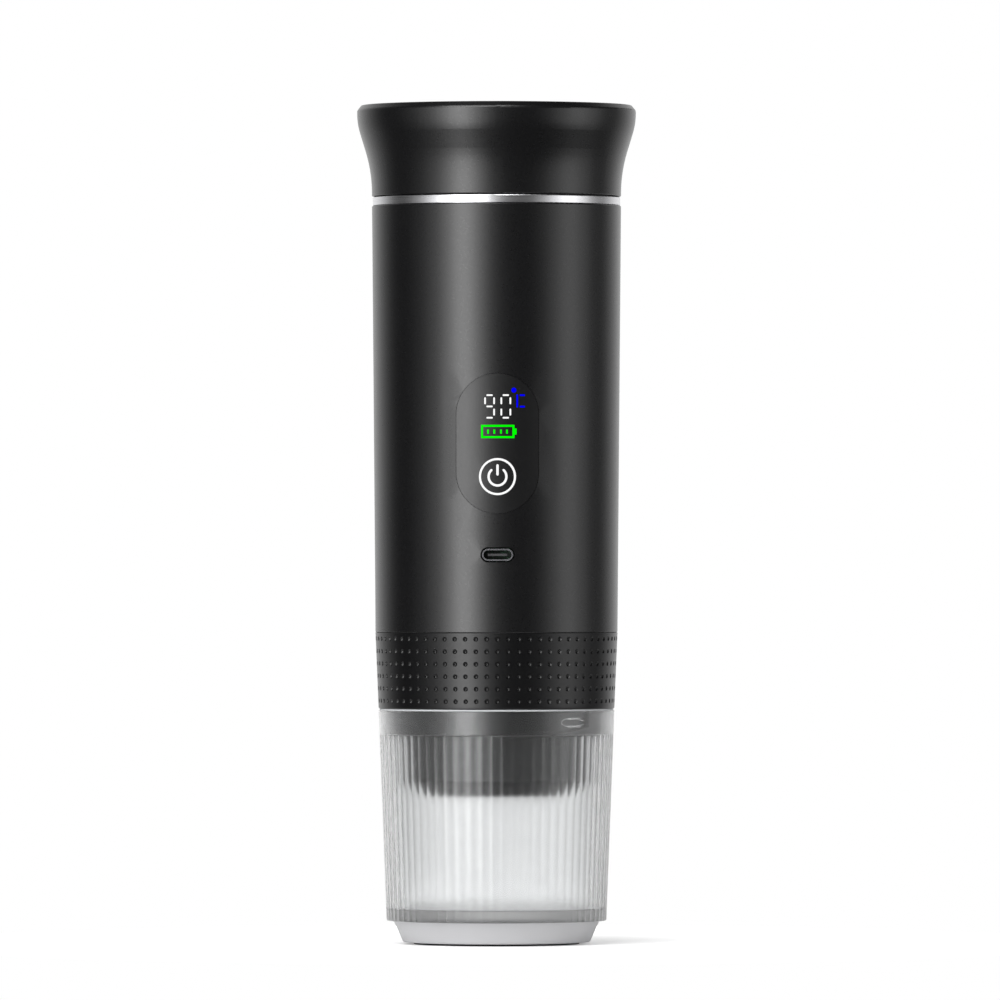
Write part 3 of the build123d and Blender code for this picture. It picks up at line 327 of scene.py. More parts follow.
# Acrylic with an anti-glare hard coat: as dark as the shell, with a broader highlight.
PANEL = Finish("anti_glare_acrylic", "#0a0a0b", "#0d0d0e", 14.0, (0.32, 0.36), 0.8, 0.001, extras=(("IOR", 1.55),))
# Turned and polished aluminium: bright, with fine rings round the axis that blur it up and down.
TRIM = Finish("turned_polished_aluminium", "#ececee", "#e2e2e5", 0.5, (0.26, 0.32), 0.25, 0.0015, Grain.AROUND, 1.0)
# Moulded clear copolyester: slightly hazy, so what is behind it blurs, and faintly smoky where it is thick.
CUP_CLEAR = ClearFinish(
    "moulded_clear_copolyester", "#f6f7f7", "#f1f2f3", 6.0, (0.19, 0.23), 2.5, 0.0, Grain.EVEN, 0.0,
    (("Transmission Weight", 1.0), ("IOR", 1.45), ("Sheen Weight", 0.4)), smoke=24.0, hue="#bcbcbc",
)
# Satin moulded ABS in light grey: soft highlight, nearly even colour.
BASE_GREY = Finish("satin_moulded_grey_abs", "#b8b8ba", "#b4b4b6", 9.0, (0.32, 0.38), 0.6, 0.002)
# Moulded silicone rubber of the foot: matt, dark and slightly dusty.
FOOT = Finish("moulded_black_silicone_rubber", "#232325", "#2b2b2e", 5.0, (0.7, 0.82), 0.5, 0.006)
# Pale silicone of the seals and hoses: milky and soft.
PALE_SILICONE = Finish(
    "pale_silicone_rubber", "#b2b4b6", "#a8abad", 4.0, (0.45, 0.6), 0.5, 0.003, extras=(("Sheen Weight", 0.1),)
)
# Dark silicone gaskets: matt, with a faint bloom.
DARK_SILICONE = Finish(
    "dark_silicone_rubber", "#26262a", "#303034", 4.0, (0.55, 0.7), 0.5, 0.004, extras=(("Sheen Weight", 0.1),)
)
# Moulded dark polypropylene of the chamber and head: satin and faintly wavy.
DARK_PP = Finish("moulded_dark_polypropylene", "#161617", "#1a1a1b", 7.0, (0.42, 0.5), 0.9, 0.003)
# Drawn stainless steel: fine rings from press and polishing wheel run round the axis.
STAINLESS = Finish("drawn_stainless_steel", "#c6c6c8", "#b6b6b9", 0.6, (0.2, 0.32), 0.3, 0.002, Grain.AROUND, 1.0)
# Spring wire and small turned steel parts: even, bright and slightly grey.
SPRING_WIRE = Finish("drawn_spring_steel", "#b4b4b8", "#a2a2a7", 1.5, (0.22, 0.34), 0.4, 0.002, metallic=1.0)
# Nickel-plated pressed steel: greyer and smoother than the springs.
NICKEL = Finish("nickel_plated_steel", "#a9a9ad", "#9c9ca1", 1.2, (0.2, 0.3), 0.3, 0.001, metallic=1.0)
# Moulded white nylon of the inner frame: dry and slightly warm.
WHITE_NYLON = Finish("moulded_white_nylon", "#dedbd4", "#d3d0c8", 6.0, (0.45, 0.58), 0.7, 0.005)
# Enamelled copper wire, wound in turns: warm brown with a thin glossy skin, and darker bands of painted shade across
# the turns.
COPPER = WoundFinish(
    "enamelled_copper_winding", "#b06a34", "#7c4420", 3.0, (0.24, 0.34), 0.45, 0.02, metallic=1.0,
    extras=(("Coat Weight", 0.4),),
)
# Glass-fibre board under green solder mask: glossy, with paler tracks.
BOARD = BoardFinish("solder_masked_board", "#0d3d22", "#1c5c36", 4.0, (0.25, 0.36), 0.5, 0.004)
# Moulded black liquid-crystal polymer: small electrical parts, dull and even.
BLACK_LCP = Finish("moulded_black_polymer", "#3a3a3c", "#333335", 3.0, (0.4, 0.5), 0.4, 0.003)
# Shrink-wrap film over a steel can: glossy and slightly uneven.
CELL_WRAP = Finish(
    "shrink_wrap_film", "#276579", "#2f7086", 12.0, (0.26, 0.36), 2.0, 0.01, Grain.ALONG, 0.0,
    (("Coat Weight", 0.3),),
)
# Die-cast aluminium of the heater: grey and a little grainy.
CAST_ALUMINIUM = Finish("die_cast_aluminium", "#a7a8aa", "#97989b", 2.5, (0.38, 0.5), 0.5, 0.008, metallic=1.0)
# Pressed mica and fibre board: pale, flaky and dry.
FIBRE_BOARD = Finish("pressed_fibre_board", "#d8d0ba", "#c6bda4", 2.0, (0.6, 0.8), 0.8, 0.02)
# Silicone-covered copper wire: smooth red cover.
WIRE_COVER = Finish("red_silicone_wire_cover", "#8f1d19", "#7c1512", 3.0, (0.38, 0.48), 0.6, 0.003)
# Milky acrylic light guides: dim of their own, and bright from the lamp behind them.
GUIDE_WHITE = LitFinish(
    "milky_acrylic_lit_white", "#303032", "#38383a", 3.0, (0.4, 0.5), 0.5, 0.001,
    extras=(("Specular IOR Level", 0.0),),
)
GUIDE_BLUE = replace(GUIDE_WHITE, name="milky_acrylic_lit_blue", colour="#000026", tone="#00002e", light="#0000ff")
GUIDE_GREEN = replace(GUIDE_WHITE, name="milky_acrylic_lit_green", colour="#002600", tone="#002e00", light="#00ff00")


@dataclass
class Surface:
    """A grid of points that becomes one mesh.

    Attributes:
        points: Rows by columns by three, in millimetres.
        round_columns: True where the last column joins the first.
        round_rows: True where the last row joins the first.
        poles: Points on the axis that close the first and the last row, if any.
    """

    points: np.ndarray
    round_columns: bool = False
    round_rows: bool = False
    poles: tuple[Floats, ...] = ()

    def faces(self) -> tuple[np.ndarray, np.ndarray]:
        """Works out the quads of the grid and the triangles of its poles.

        Cell (i, j) joins point (i, j) to its neighbours at i + 1 and j + 1, wrapped where the grid is closed.

        Returns:
            Quads by four and triangles by three, as point numbers.
        """
        rows, columns = self.points.shape[:2]
        i = np.arange(rows if self.round_rows else rows - 1)[:, None]
        j = np.arange(columns if self.round_columns else columns - 1)[None, :]
        next_i, next_j = (i + 1) % rows, (j + 1) % columns
        corners = [i * columns + j, i * columns + next_j, next_i * columns + next_j, next_i * columns + j]
        quads = np.stack([c.ravel() for c in corners], axis=1)
        if not self.poles:
            return quads, np.zeros((0, 3), int)
        edge = np.arange(columns)
        after = (edge + 1) % columns
        last = (rows - 1) * columns
        first_fan = np.stack([after, edge, np.full(columns, rows * columns)], axis=1)
        last_fan = np.stack([last + edge, last + after, np.full(columns, rows * columns + 1)], axis=1)
        return quads, np.concatenate([first_fan, last_fan])

    def corners(self) -> np.ndarray:
        """Gives all points as one list, the poles last, in metres."""
        flat = self.points.reshape(-1, 3)
        return MM * (np.concatenate([flat, np.array(self.poles)]) if self.poles else flat)


def make_piece(name: str, surfaces: list[Surface], crease: float = 40.0) -> Object:
    """Puts one or more grids into one mesh object at the origin.

    A mesh whose signed volume, the sum of p0 . (p1 x p2) / 6 over its triangles, is negative is turned inside out.

    Args:
        name: Name of the piece.
        surfaces: Grids that make up the piece.
        crease: Angle in degrees over which an edge shows sharp.

    Returns:
        The new object, linked to the scene.
    """
    points, polygons, start, volume = [], [], 0, 0.0
    for surface in surfaces:
        corners = surface.corners()
        quads, fans = surface.faces()
        for faces in (quads[:, :3], quads[:, [0, 2, 3]], fans):
            a, b, c = (corners[faces[:, n]] for n in range(3))
            volume += float(np.einsum("ij,ij->", a, np.cross(b, c))) / 6
        points.append(corners)
        polygons += [quads + start, fans + start]
        start += len(corners)
    if volume < 0:
        polygons = [faces[:, ::-1] for faces in polygons]
    mesh = bpy.data.meshes.new(name)
    mesh.from_pydata(np.concatenate(points).tolist(), [], [face for part in polygons for face in part.tolist()])
    mesh.polygons.foreach_set("use_smooth", np.ones(len(mesh.polygons), bool))
    mesh.set_sharp_from_angle(angle=math.radians(crease))
    mesh.update()
    piece = bpy.data.objects.new(name, mesh)
    bpy.context.scene.collection.objects.link(piece)
    LOG.info("built %s with %d faces", name, len(mesh.polygons))
    return piece


def around(reach: np.ndarray, turn: np.ndarray, height: np.ndarray) -> np.ndarray:
    """Turns radius, angle and height into points: x is the radius times the angle's cosine, y times its sine."""
    return np.stack(np.broadcast_arrays(reach * np.cos(turn), reach * np.sin(turn), height), axis=2)


def taper(height: np.ndarray, low: float, high: float, low_radius: float, high_radius: float) -> np.ndarray:
    """Radius at a height on a straight taper between two heights and their radii."""
    return low_radius + (high_radius - low_radius) * ((height - low) / (high - low))


def angles(count: int) -> np.ndarray:
    """Angles of evenly spaced points round a circle."""
    return np.arange(count) * math.tau / count


def dress_nodes(finishes: dict[Finish, str]) -> None:
    """Gives each finish to its CAD nodes, which are named in one line of words."""
    for finish, nodes in finishes.items():
        for node in nodes.split():
            finish.dress(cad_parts[node])
        LOG.info("%s on %s", finish.name, nodes)


@dataclass
class Cup:
    """Fluted clear cup on its grey base."""

    foot: float = 7.03
    rim: float = 70.0
    foot_radius: float = 32.9
    rim_radius: float = 35.3
    well_radius: float = 31.0
    bore_radius: float = 33.4
    floor: float = 10.6
    floor_round: float = 0.35
    spigot_radius: float = 26.0
    spigot_foot: float = 4.03
    spigot_rings: Floats = (9.0, 18.0)
    spigot_gap: float = 0.02
    spigot_margin: float = 0.3
    foot_margin: float = 2.0
    floor_rings: Floats = (21.0, 14.0, 7.0)
    edge: float = 0.25
    band: float = 62.9
    band_proud: float = 0.05
    band_step: float = 0.05
    rim_margin: float = 0.6
    flutes: int = 72
    flute_depth: float = 0.18
    flute_run_out: float = 0.5
    flute_places: Floats = (0.0, 0.07, 0.14, 0.21, 0.28, 0.35, 0.42, 0.46, 0.49)
    lug_angles: Floats = (-47.6, 132.4)
    lug_height: float = 66.6
    lug_half_length: float = 4.4
    lug_half_width: float = 1.35
    lug_flat: float = 2.7
    lug_tip: float = 0.61
    lug_reach: float = 1.45
    lug_side: float = 0.45
    lug_zone: float = 2.0
    lug_margin: float = 3.2
    lug_rows: int = 33
    wall_rows: int = 3
    fade_rows: int = 6
    lip_rows: int = 5
    bend_rows: int = 9
    crease: float = 28.0

    def outer(self, height: np.ndarray) -> np.ndarray:
        """Crest radius at a height: a straight taper from foot to rim."""
        return taper(height, self.foot, self.rim, self.foot_radius, self.rim_radius)

    def inner(self, height: np.ndarray) -> np.ndarray:
        """Inner radius at a height: a straight taper from floor to rim."""
        return taper(height, self.floor, self.rim, self.well_radius, self.bore_radius)

    def profile(self) -> np.ndarray:
        """Walks the cup's section from under the spigot, up the outside, over the rim and down to the floor.

        Returns:
            Rows of radius, height, flute share and lug share.
        """
        def rows(radius: Any, height: Any, flute: Any = 0.0, lug: float = 0.0) -> np.ndarray:
            """Stacks radius, height, flute share and lug share as rows."""
            return np.stack(np.broadcast_arrays(np.atleast_1d(radius), height, flute, lug), axis=1).astype(float)

        wall = np.linspace(self.foot + self.edge, self.band - self.flute_run_out, self.wall_rows)
        fade = np.linspace(0, 1, self.fade_rows)[1:]
        run_out = self.band - self.flute_run_out * (1 - fade)
        top = self.rim - self.edge
        band = np.linspace(self.band + self.band_step, top, self.wall_rows)
        lip = np.linspace(0, math.pi / 2, self.lip_rows)
        rim_out = self.rim_radius - self.edge
        rim_in = self.bore_radius + self.edge
        below = self.rim - self.rim_margin
        lugs = np.linspace(self.lug_height + self.lug_zone, self.lug_height - self.lug_zone, self.lug_rows)
        low_wall = np.linspace(self.lug_height - self.lug_margin, self.floor + self.floor_round, self.wall_rows)
        bend = np.linspace(0, math.pi / 2, self.bend_rows)[1:]
        corner = self.inner(np.array(self.floor + self.floor_round)) - self.floor_round
        return np.concatenate([
            rows([*self.spigot_rings, self.spigot_radius - self.edge], self.spigot_foot),
            rows(self.spigot_radius, [self.spigot_foot + self.edge, self.foot - self.spigot_gap]),
            rows([self.spigot_radius + self.spigot_margin, self.foot_radius - self.foot_margin], self.foot),
            rows(self.foot_radius - self.edge, self.foot, 1.0),
            rows(self.outer(wall), wall, 1.0),
            rows(self.outer(run_out), run_out, (1 - fade) ** 0.5),
            rows(self.outer(band) + self.band_proud * (self.rim - band) / (self.rim - self.band), band),
            rows(rim_out + self.edge * np.cos(lip[1:]), top + self.edge * np.sin(lip[1:])),
            rows(rim_in - self.edge * np.sin(lip), top + self.edge * np.cos(lip)),
            rows(self.inner(np.array([below])), below),
            rows(self.inner(lugs), lugs, 0.0, 1.0),
            rows(self.inner(low_wall), low_wall),
            rows(corner + self.floor_round * np.cos(bend), self.floor + self.floor_round * (1 - np.sin(bend))),
            rows(self.floor_rings, self.floor),
        ])

    def lug(self, radius: np.ndarray, turn: np.ndarray, height: np.ndarray) -> np.ndarray:
        """Height of the bayonet lugs above the inner wall.

        Each lug is a level bar with tapered ends. The height rises over a narrow side strip with the distance to the
        nearest of its top, end and slanted edges, and stays level inside.

        Args:
            radius: Radius of each point.
            turn: Angle of each point in radians.
            height: Height of each point.

        Returns:
            Lug height at each point.
        """
        total = np.zeros(np.broadcast_shapes(radius.shape, turn.shape, height.shape))
        run = self.lug_half_length - self.lug_flat
        fall = self.lug_half_width - self.lug_tip
        across = np.abs(height - self.lug_height)
        for angle in self.lug_angles:
            swing = (turn - math.radians(angle) + math.pi) % math.tau - math.pi
            along = np.abs(radius * np.sin(swing))
            slant = fall * (self.lug_half_length - along) + run * (self.lug_tip - across)
            end = np.minimum(self.lug_half_length - along, slant / math.hypot(run, fall))
            inside = np.minimum(self.lug_half_width - across, end)
            near = np.cos(swing) > 0
            total = np.maximum(total, self.lug_reach * np.clip(inside / self.lug_side, 0, 1) * near)
        return total

    def build(self) -> Object:
        """Turns the section round the axis, with hollow flutes outside and lugs inside.

        With u the distance from a flute's middle, as a share of half its width, the depth below the crest is the full
        depth times one less u squared, so each flute meets the next in a ridge.

        Returns:
            The cup's object.
        """
        half = np.array(self.flute_places)
        places = np.concatenate([half, [0.5], 1 - half[:0:-1]])
        share = (np.arange(self.flutes)[:, None] + places[None, :]).reshape(1, -1)
        turn = share * math.tau / self.flutes
        radius, height, flute, lug = (column[:, None] for column in self.profile().T)
        off = 2 * np.abs(share - np.round(share))
        sink = self.flute_depth * (1 - off ** 2)
        points = around(radius - flute * sink - lug * self.lug(radius, turn, height), turn, height)
        ends = ((0.0, 0.0, self.spigot_foot), (0.0, 0.0, self.floor))
        piece = make_piece("clear_cup", [Surface(points, round_columns=True, poles=ends)], self.crease)
        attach(piece, "cup")
        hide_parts("cup_shell")
        return piece

    def dress(self, piece: Object) -> None:
        """Dresses the cup, its base, foot and seal."""
        CUP_CLEAR.dress(piece)
        dress_nodes({CUP_CLEAR: "cup_shell", BASE_GREY: "cup_base", FOOT: "foot_pad", PALE_SILICONE: "cup_seal"})


@dataclass
class BrewChamber:
    """Chamber with its dimpled grip sleeve and the filter basket."""

    low: float = 70.5
    high: float = 93.25
    low_radius: float = 35.3
    high_radius: float = 36.25
    bore: float = 33.55
    edge: float = 0.3
    head_edge: float = 0.1
    columns: int = 70
    first_turn: float = -90.0
    rows: int = 6
    first_row: float = 72.9
    row_step: float = 3.71
    dimple_radius: float = 0.72
    dimple_depth: float = 0.52
    cell_half: float = 1.25
    cell_lines: Floats = (-1.0, -0.8, -0.62, -0.42, -0.2, 0.0, 0.2, 0.42, 0.62, 0.8, 1.0)
    edge_line: float = 0.62
    lip_rows: int = 4
    crease: float = 32.0

    def outer(self, height: np.ndarray) -> np.ndarray:
        """Radius of the plain sleeve at a height: a straight taper."""
        return taper(height, self.low, self.high, self.low_radius, self.high_radius)

    def cell(self) -> tuple[np.ndarray, np.ndarray, np.ndarray]:
        """Works out the grid of one dimple's cell, whose square rings become circles inside the dimple.

        With u and v the grid lines and r the larger of their sizes, a point lies in its own direction at the dimple's
        radius times r over edge_line. Outside the dimple it goes evenly from that circle to the cell's square border.

        Returns:
            Distance aside, distance above and distance from the middle up to the dimple's edge, for each point.
        """
        u, v = np.meshgrid(self.cell_lines, self.cell_lines)
        ring = np.maximum(np.abs(u), np.abs(v))
        distance = self.dimple_radius * np.minimum(ring / self.edge_line, 1)
        outside = np.clip((ring - self.edge_line) / (1 - self.edge_line), 0, 1)
        least = min(line for line in self.cell_lines if line > 0)
        circle = distance / np.maximum(np.hypot(u, v), least)
        square = self.cell_half / np.maximum(ring, least)
        scale = (1 - outside) * circle + outside * square
        return u * scale, v * scale, distance

    def dimple(self, distance: np.ndarray) -> np.ndarray:
        """Depth of a dimple at a distance from its middle: a spherical cap that meets the sleeve at its radius."""
        ball = (self.dimple_radius ** 2 + self.dimple_depth ** 2) / (2 * self.dimple_depth)
        return np.sqrt(ball ** 2 - distance ** 2) - (ball - self.dimple_depth)

    def build(self) -> Object:
        """Turns the sleeve's section round the axis and sinks the dimples into its outside.

        Returns:
            The sleeve's object.
        """
        middle = (self.low_radius + self.high_radius) / 2
        aside, above, distance = (np.tile(part, (self.rows, self.columns)) for part in self.cell())
        lines = np.array(self.cell_lines)
        column = np.repeat(angles(self.columns), lines.size)[None, :] + math.radians(self.first_turn)
        height = np.repeat(self.first_row + self.row_step * np.arange(self.rows), lines.size)[:, None] + above
        border = column + np.tile(lines * self.cell_half, self.columns)[None, :] / middle
        lip = np.linspace(0, math.pi / 2, self.lip_rows)[:, None]
        foot = self.low + self.edge * (1 - np.cos(lip))
        head = self.high - self.head_edge * (1 - np.cos(lip[::-1]))
        points = np.concatenate([
            around(self.outer(foot) - self.edge * (1 - np.sin(lip)), border, foot),
            around(self.outer(height) - self.dimple(distance), column + aside / middle, height),
            around(self.outer(head) - self.head_edge * (1 - np.sin(lip[::-1])), border, head),
            around(np.full((2, 1), self.bore), border, np.array([[self.high], [self.low]])),
        ])
        piece = make_piece("dimpled_sleeve", [Surface(points, round_columns=True, round_rows=True)], self.crease)
        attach(piece, "chamber")
        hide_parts("grip_sleeve")
        return piece

    def dress(self, piece: Object) -> None:
        """Dresses the sleeve, the chamber, its seal and the basket."""
        GRIP_ABS.dress(piece)
        dress_nodes({
            GRIP_ABS: "grip_sleeve", DARK_PP: "brew_chamber", PALE_SILICONE: "chamber_seal", STAINLESS: "filter_basket",
        })


@dataclass(frozen=True)
class FrontFace:
    """The housing's tapered front, on which the signs lie."""

    low: float = 93.3
    high: float = 220.9
    low_radius: float = 36.25
    high_radius: float = 37.3
    lift: float = 0.03
    skin: float = 0.06
    bar_lines: int = 9
    arc_lines: tuple[int, int] = (73, 7)
    dot_lines: int = 15

    def wrap(self, across: np.ndarray, height: np.ndarray) -> np.ndarray:
        """Lays flat points on the taper: y is minus the root of the squared radius less the squared x."""
        radius = taper(height, self.low, self.high, self.low_radius, self.high_radius) + self.lift
        return np.stack([across, -np.sqrt(radius ** 2 - across ** 2), height], axis=-1)

    def bar(self, left: float, right: float, low: float, high: float, end: float = 0.0) -> Surface:
        """A bar whose two short ends are bowed: the half length falls by end times one less the root of 1 - v squared.

        Args:
            left: Left edge.
            right: Right edge.
            low: Lower edge.
            high: Upper edge.
            end: How far the corners draw in.

        Returns:
            The bar, laid on the face.
        """
        u, v = np.meshgrid(*2 * [np.linspace(-1, 1, self.bar_lines)])
        half_w, half_h = (right - left) / 2, (high - low) / 2
        if half_w >= half_h:
            across, up = u * (half_w - end * (1 - np.sqrt(1 - v ** 2))), v * half_h
        else:
            across, up = u * half_w, v * (half_h - end * (1 - np.sqrt(1 - u ** 2)))
        return Surface(self.wrap((left + right) / 2 + across, (low + high) / 2 + up))

    def arc(self, height: float, radius: float, stroke: float, gap: float) -> Surface:
        """A ring round the middle line, open at the top by a gap angle on each side, with rounded ends.

        Args:
            height: Height of the ring's middle.
            radius: Radius of the middle of the stroke.
            stroke: Width of the stroke.
            gap: Half angle of the opening, in degrees.

        Returns:
            The arc, laid on the face.
        """
        u, v = np.meshgrid(*(np.linspace(-1, 1, count) for count in self.arc_lines), indexing="ij")
        half = math.pi - math.radians(gap) - stroke / 2 / radius * (1 - np.sqrt(1 - v ** 2))
        reach = radius + v * stroke / 2
        return Surface(self.wrap(reach * np.sin(u * half), height - reach * np.cos(u * half)))

    def dot(self, across: float, height: float, radius: float) -> Surface:
        """A round dot: a square grid squeezed to a disc, each side by the root of one less half the other's square.

        Args:
            across: Middle of the dot, to the right.
            height: Middle of the dot, up.
            radius: Radius of the dot.

        Returns:
            The dot, laid on the face.
        """
        u, v = np.meshgrid(*2 * [np.linspace(-1, 1, self.dot_lines)])
        return Surface(self.wrap(
            across + radius * u * np.sqrt(1 - v ** 2 / 2), height + radius * v * np.sqrt(1 - u ** 2 / 2)
        ))

    def sign(self, name: str, surfaces: list[Surface], finish: Finish, body: str) -> None:
        """Makes a sign of the laid patches, with a thin skin, and puts it on a body.

        Args:
            name: Name of the sign.
            surfaces: Its patches.
            finish: Its finish.
            body: CAD body that carries it.
        """
        piece = make_piece(name, surfaces)
        skin = piece.modifiers.new("skin", "SOLIDIFY")
        skin.thickness = self.skin * MM
        skin.offset = -1.0
        finish.dress(piece)
        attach(piece, body)


@dataclass
class Display:
    """Temperature figures and battery picture that shine through the panel."""

    face: FrontFace = FrontFace()
    digit_lefts: Floats = (-3.94, 0.88)
    digit_width: float = 3.18
    digit_low: float = 156.905
    digit_height: float = 7.2
    stroke: float = 0.5
    inset: float = 0.65
    break_gap: float = 0.4
    bow: float = 0.22
    arm_bow: float = 0.05
    digit_segments: tuple[str, ...] = ("abcdfg", "abcdef")
    degree: Floats = (4.85, 165.34, 0.73)
    mark_left: float = 5.6
    mark_right: float = 8.14
    mark_gap: float = 0.52
    mark_low: float = 160.2
    mark_high: float = 164.1
    cell_pen: float = 0.6
    cell_left: float = -4.89
    cell_right: float = 5.04
    cell_low: float = 151.1
    cell_high: float = 155.05
    cell_nub: float = 0.62
    cell_nub_half: float = 0.9
    cell_bars: Floats = (-2.81, -0.96, 1.03, 2.81)
    cell_bar_half: float = 0.27
    cell_bar_low: float = 152.42
    cell_bar_high: float = 153.66

    def digit(self, left: float, lit: str) -> list[Surface]:
        """Lays out one seven-part digit.

        The parts are named a to g: top, upper right, lower right, bottom, lower left, upper left and middle.

        Args:
            left: Left edge of the digit.
            lit: Names of the lit parts.

        Returns:
            The lit bars.
        """
        right, low, high = left + self.digit_width, self.digit_low, self.digit_low + self.digit_height
        mid, half = (low + high) / 2, self.stroke / 2
        across = (left + self.inset, right - self.inset)
        upper = (mid + half + self.break_gap, high - self.stroke - self.break_gap)
        lower = (low + self.stroke + self.break_gap, mid - half - self.break_gap)
        spans = {
            "a": (*across, high - self.stroke, high), "g": (*across, mid - half, mid + half),
            "d": (*across, low, low + self.stroke), "b": (right - self.stroke, right, *upper),
            "c": (right - self.stroke, right, *lower), "f": (left, left + self.stroke, *upper),
            "e": (left, left + self.stroke, *lower),
        }
        return [self.face.bar(*spans[part], self.bow) for part in lit]

    def degree_mark(self) -> list[Surface]:
        """Lays out the dot and the open letter-like mark of three bars beside the figures."""
        inner = self.mark_left + self.stroke
        arm = (inner + self.mark_gap, self.mark_right)
        return [
            self.face.dot(*self.degree),
            self.face.bar(self.mark_left, inner, self.mark_low, self.mark_high, self.bow),
            self.face.bar(*arm, self.mark_high - self.stroke, self.mark_high, self.arm_bow),
            self.face.bar(*arm, self.mark_low, self.mark_low + self.stroke, self.arm_bow),
        ]

    def battery(self) -> list[Surface]:
        """Lays out the battery picture: four sides, a nub and four charge bars."""
        left, right, low, high, pen = self.cell_left, self.cell_right, self.cell_low, self.cell_high, self.cell_pen
        mid, nub, half = (low + high) / 2, self.cell_nub_half, self.cell_bar_half
        spans = [
            (left, right, low, low + pen), (left, right, high - pen, high), (left, left + pen, low + pen, high - pen),
            (right - pen, right, low + pen, high - pen), (right, right + self.cell_nub, mid - nub, mid + nub),
        ]
        spans += [(x - half, x + half, self.cell_bar_low, self.cell_bar_high) for x in self.cell_bars]
        return [self.face.bar(*span) for span in spans]

    def build(self) -> None:
        """Makes the three signs and puts them on the housing."""
        digits = [bar for left, lit in zip(self.digit_lefts, self.digit_segments) for bar in self.digit(left, lit)]
        self.face.sign("lit_figures", digits, GUIDE_WHITE, "housing")
        self.face.sign("lit_degree_mark", self.degree_mark(), GUIDE_BLUE, "housing")
        self.face.sign("lit_battery_sign", self.battery(), GUIDE_GREEN, "housing")


@dataclass
class PowerKey:
    """Round key with a lit power sign, inside a lit ring."""

    face: FrontFace = FrontFace()
    arc_radius: float = 2.64
    stroke: float = 0.67
    gap: float = 36.0
    bar_half: float = 0.36
    bar_low: float = 0.3
    bar_high: float = 3.67

    def build(self) -> None:
        """Makes the sign and puts it on the key."""
        low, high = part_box("power_button")
        middle, half = (low.z + high.z) / 2 / MM, self.bar_half
        surfaces = [
            self.face.arc(middle, self.arc_radius, self.stroke, self.gap),
            self.face.bar(-half, half, middle + self.bar_low, middle + self.bar_high, half),
        ]
        self.face.sign("lit_power_sign", surfaces, GUIDE_WHITE, "power_button")

    def dress(self) -> None:
        """Dresses the key and its light ring."""
        dress_nodes({PANEL: "power_button", GUIDE_WHITE: "button_light_ring"})


@dataclass(frozen=True)
class Spring:
    """Open coil of round wire that is squeezed between the housing and a moving part of the pump.

    Attributes:
        node: CAD node that it stands for.
        body: Body that its free end would move with; not used.
        free_up: True where the free end is the upper one; not used.
        wire: Radius of the wire.
        turns: Number of turns.
        steps: Points along one turn.
        sides: Points round the wire.
    """

    node: str
    body: str
    free_up: bool
    wire: float = 0.4
    turns: int = 5
    steps: int = 48
    sides: int = 12

    def build(self) -> Object:
        """Winds the wire evenly between the node's lowest and highest points.

        At the wound angle t the wire's middle is at the coil's radius and at a height that rises evenly with t, and its
        section is a circle in the plane through the axis.

        Returns:
            The coil's object.
        """
        low, high = (np.array(corner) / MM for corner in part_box(self.node))
        reach = (high[0] - low[0]) / 2 - self.wire
        turn = np.linspace(0, math.tau * self.turns, self.steps * self.turns + 1)[:, None]
        height = low[2] + self.wire + (high[2] - low[2] - 2 * self.wire) * turn / turn[-1]
        section = angles(self.sides)[None, :]
        points = around(reach + self.wire * np.cos(section), turn, height + self.wire * np.sin(section))
        middle = around(np.full((1, 1), reach), turn, height)
        ends = (tuple(middle[0, 0]), tuple(middle[-1, 0]))
        piece = make_piece(f"{self.node}_coil", [Surface(points, round_columns=True, poles=ends)])
        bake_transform(piece)
        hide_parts(self.node)
        return piece

    def dress(self, piece: Object) -> None:
        """Dresses the coil and the node that it stands for."""
        SPRING_WIRE.dress(piece)
        dress_nodes({SPRING_WIRE: self.node})


@dataclass
class Housing:
    """Housing with its panel, socket, tank, brew head and all that is shut inside."""

    springs: tuple[Spring, ...] = (
        Spring("drive_spring", "pump_piston", True),
        Spring("buffer_spring", "pump_piston", False),
        Spring("valve_spring", "valve_ball", True, 0.22, 3),
    )

    def build(self) -> None:
        """Builds and dresses the pump's springs."""
        for spring in self.springs:
            spring.dress(spring.build())

    def dress(self) -> None:
        """Dresses every other CAD node of the housing."""
        dress_nodes({
            SOFT_TOUCH: "body_shell", PANEL: "control_panel", TRIM: "trim_ring", COPPER: "pump_coil",
            BOARD: "main_board", NICKEL: "usb_shell battery_strips pump_yoke",
            BLACK_LCP: "usb_tongue display_module press_switch",
            DARK_PP: "brew_head tank_collar", DARK_SILICONE: "head_gasket pump_mount",
            PALE_SILICONE: "tank_gasket inlet_hose outlet_hose", STAINLESS: "shower_screen water_tank",
            SPRING_WIRE: "head_screws screen_screw board_screws pump_piston valve_ball",
            CAST_ALUMINIUM: "heater_plate temp_sensor", FIBRE_BOARD: "heater_insulator",
            WHITE_NYLON: "chassis battery_cradle_lower battery_cradle_upper pump_outlet_cap pump_guide pump_inlet_cap",
            CELL_WRAP: "battery_cell_1 battery_cell_2 battery_cell_3",
            WIRE_COVER: "heater_leads coil_leads battery_leads",
        })


@dataclass
class Lid:
    """Flared screw lid with its inset top, liner and seal."""

    def dress(self) -> None:
        """Dresses every CAD node of the lid."""
        dress_nodes({
            SOFT_TOUCH: "lid_shell", GRIP_ABS: "lid_top_plate", DARK_PP: "lid_liner", DARK_SILICONE: "lid_seal",
        })


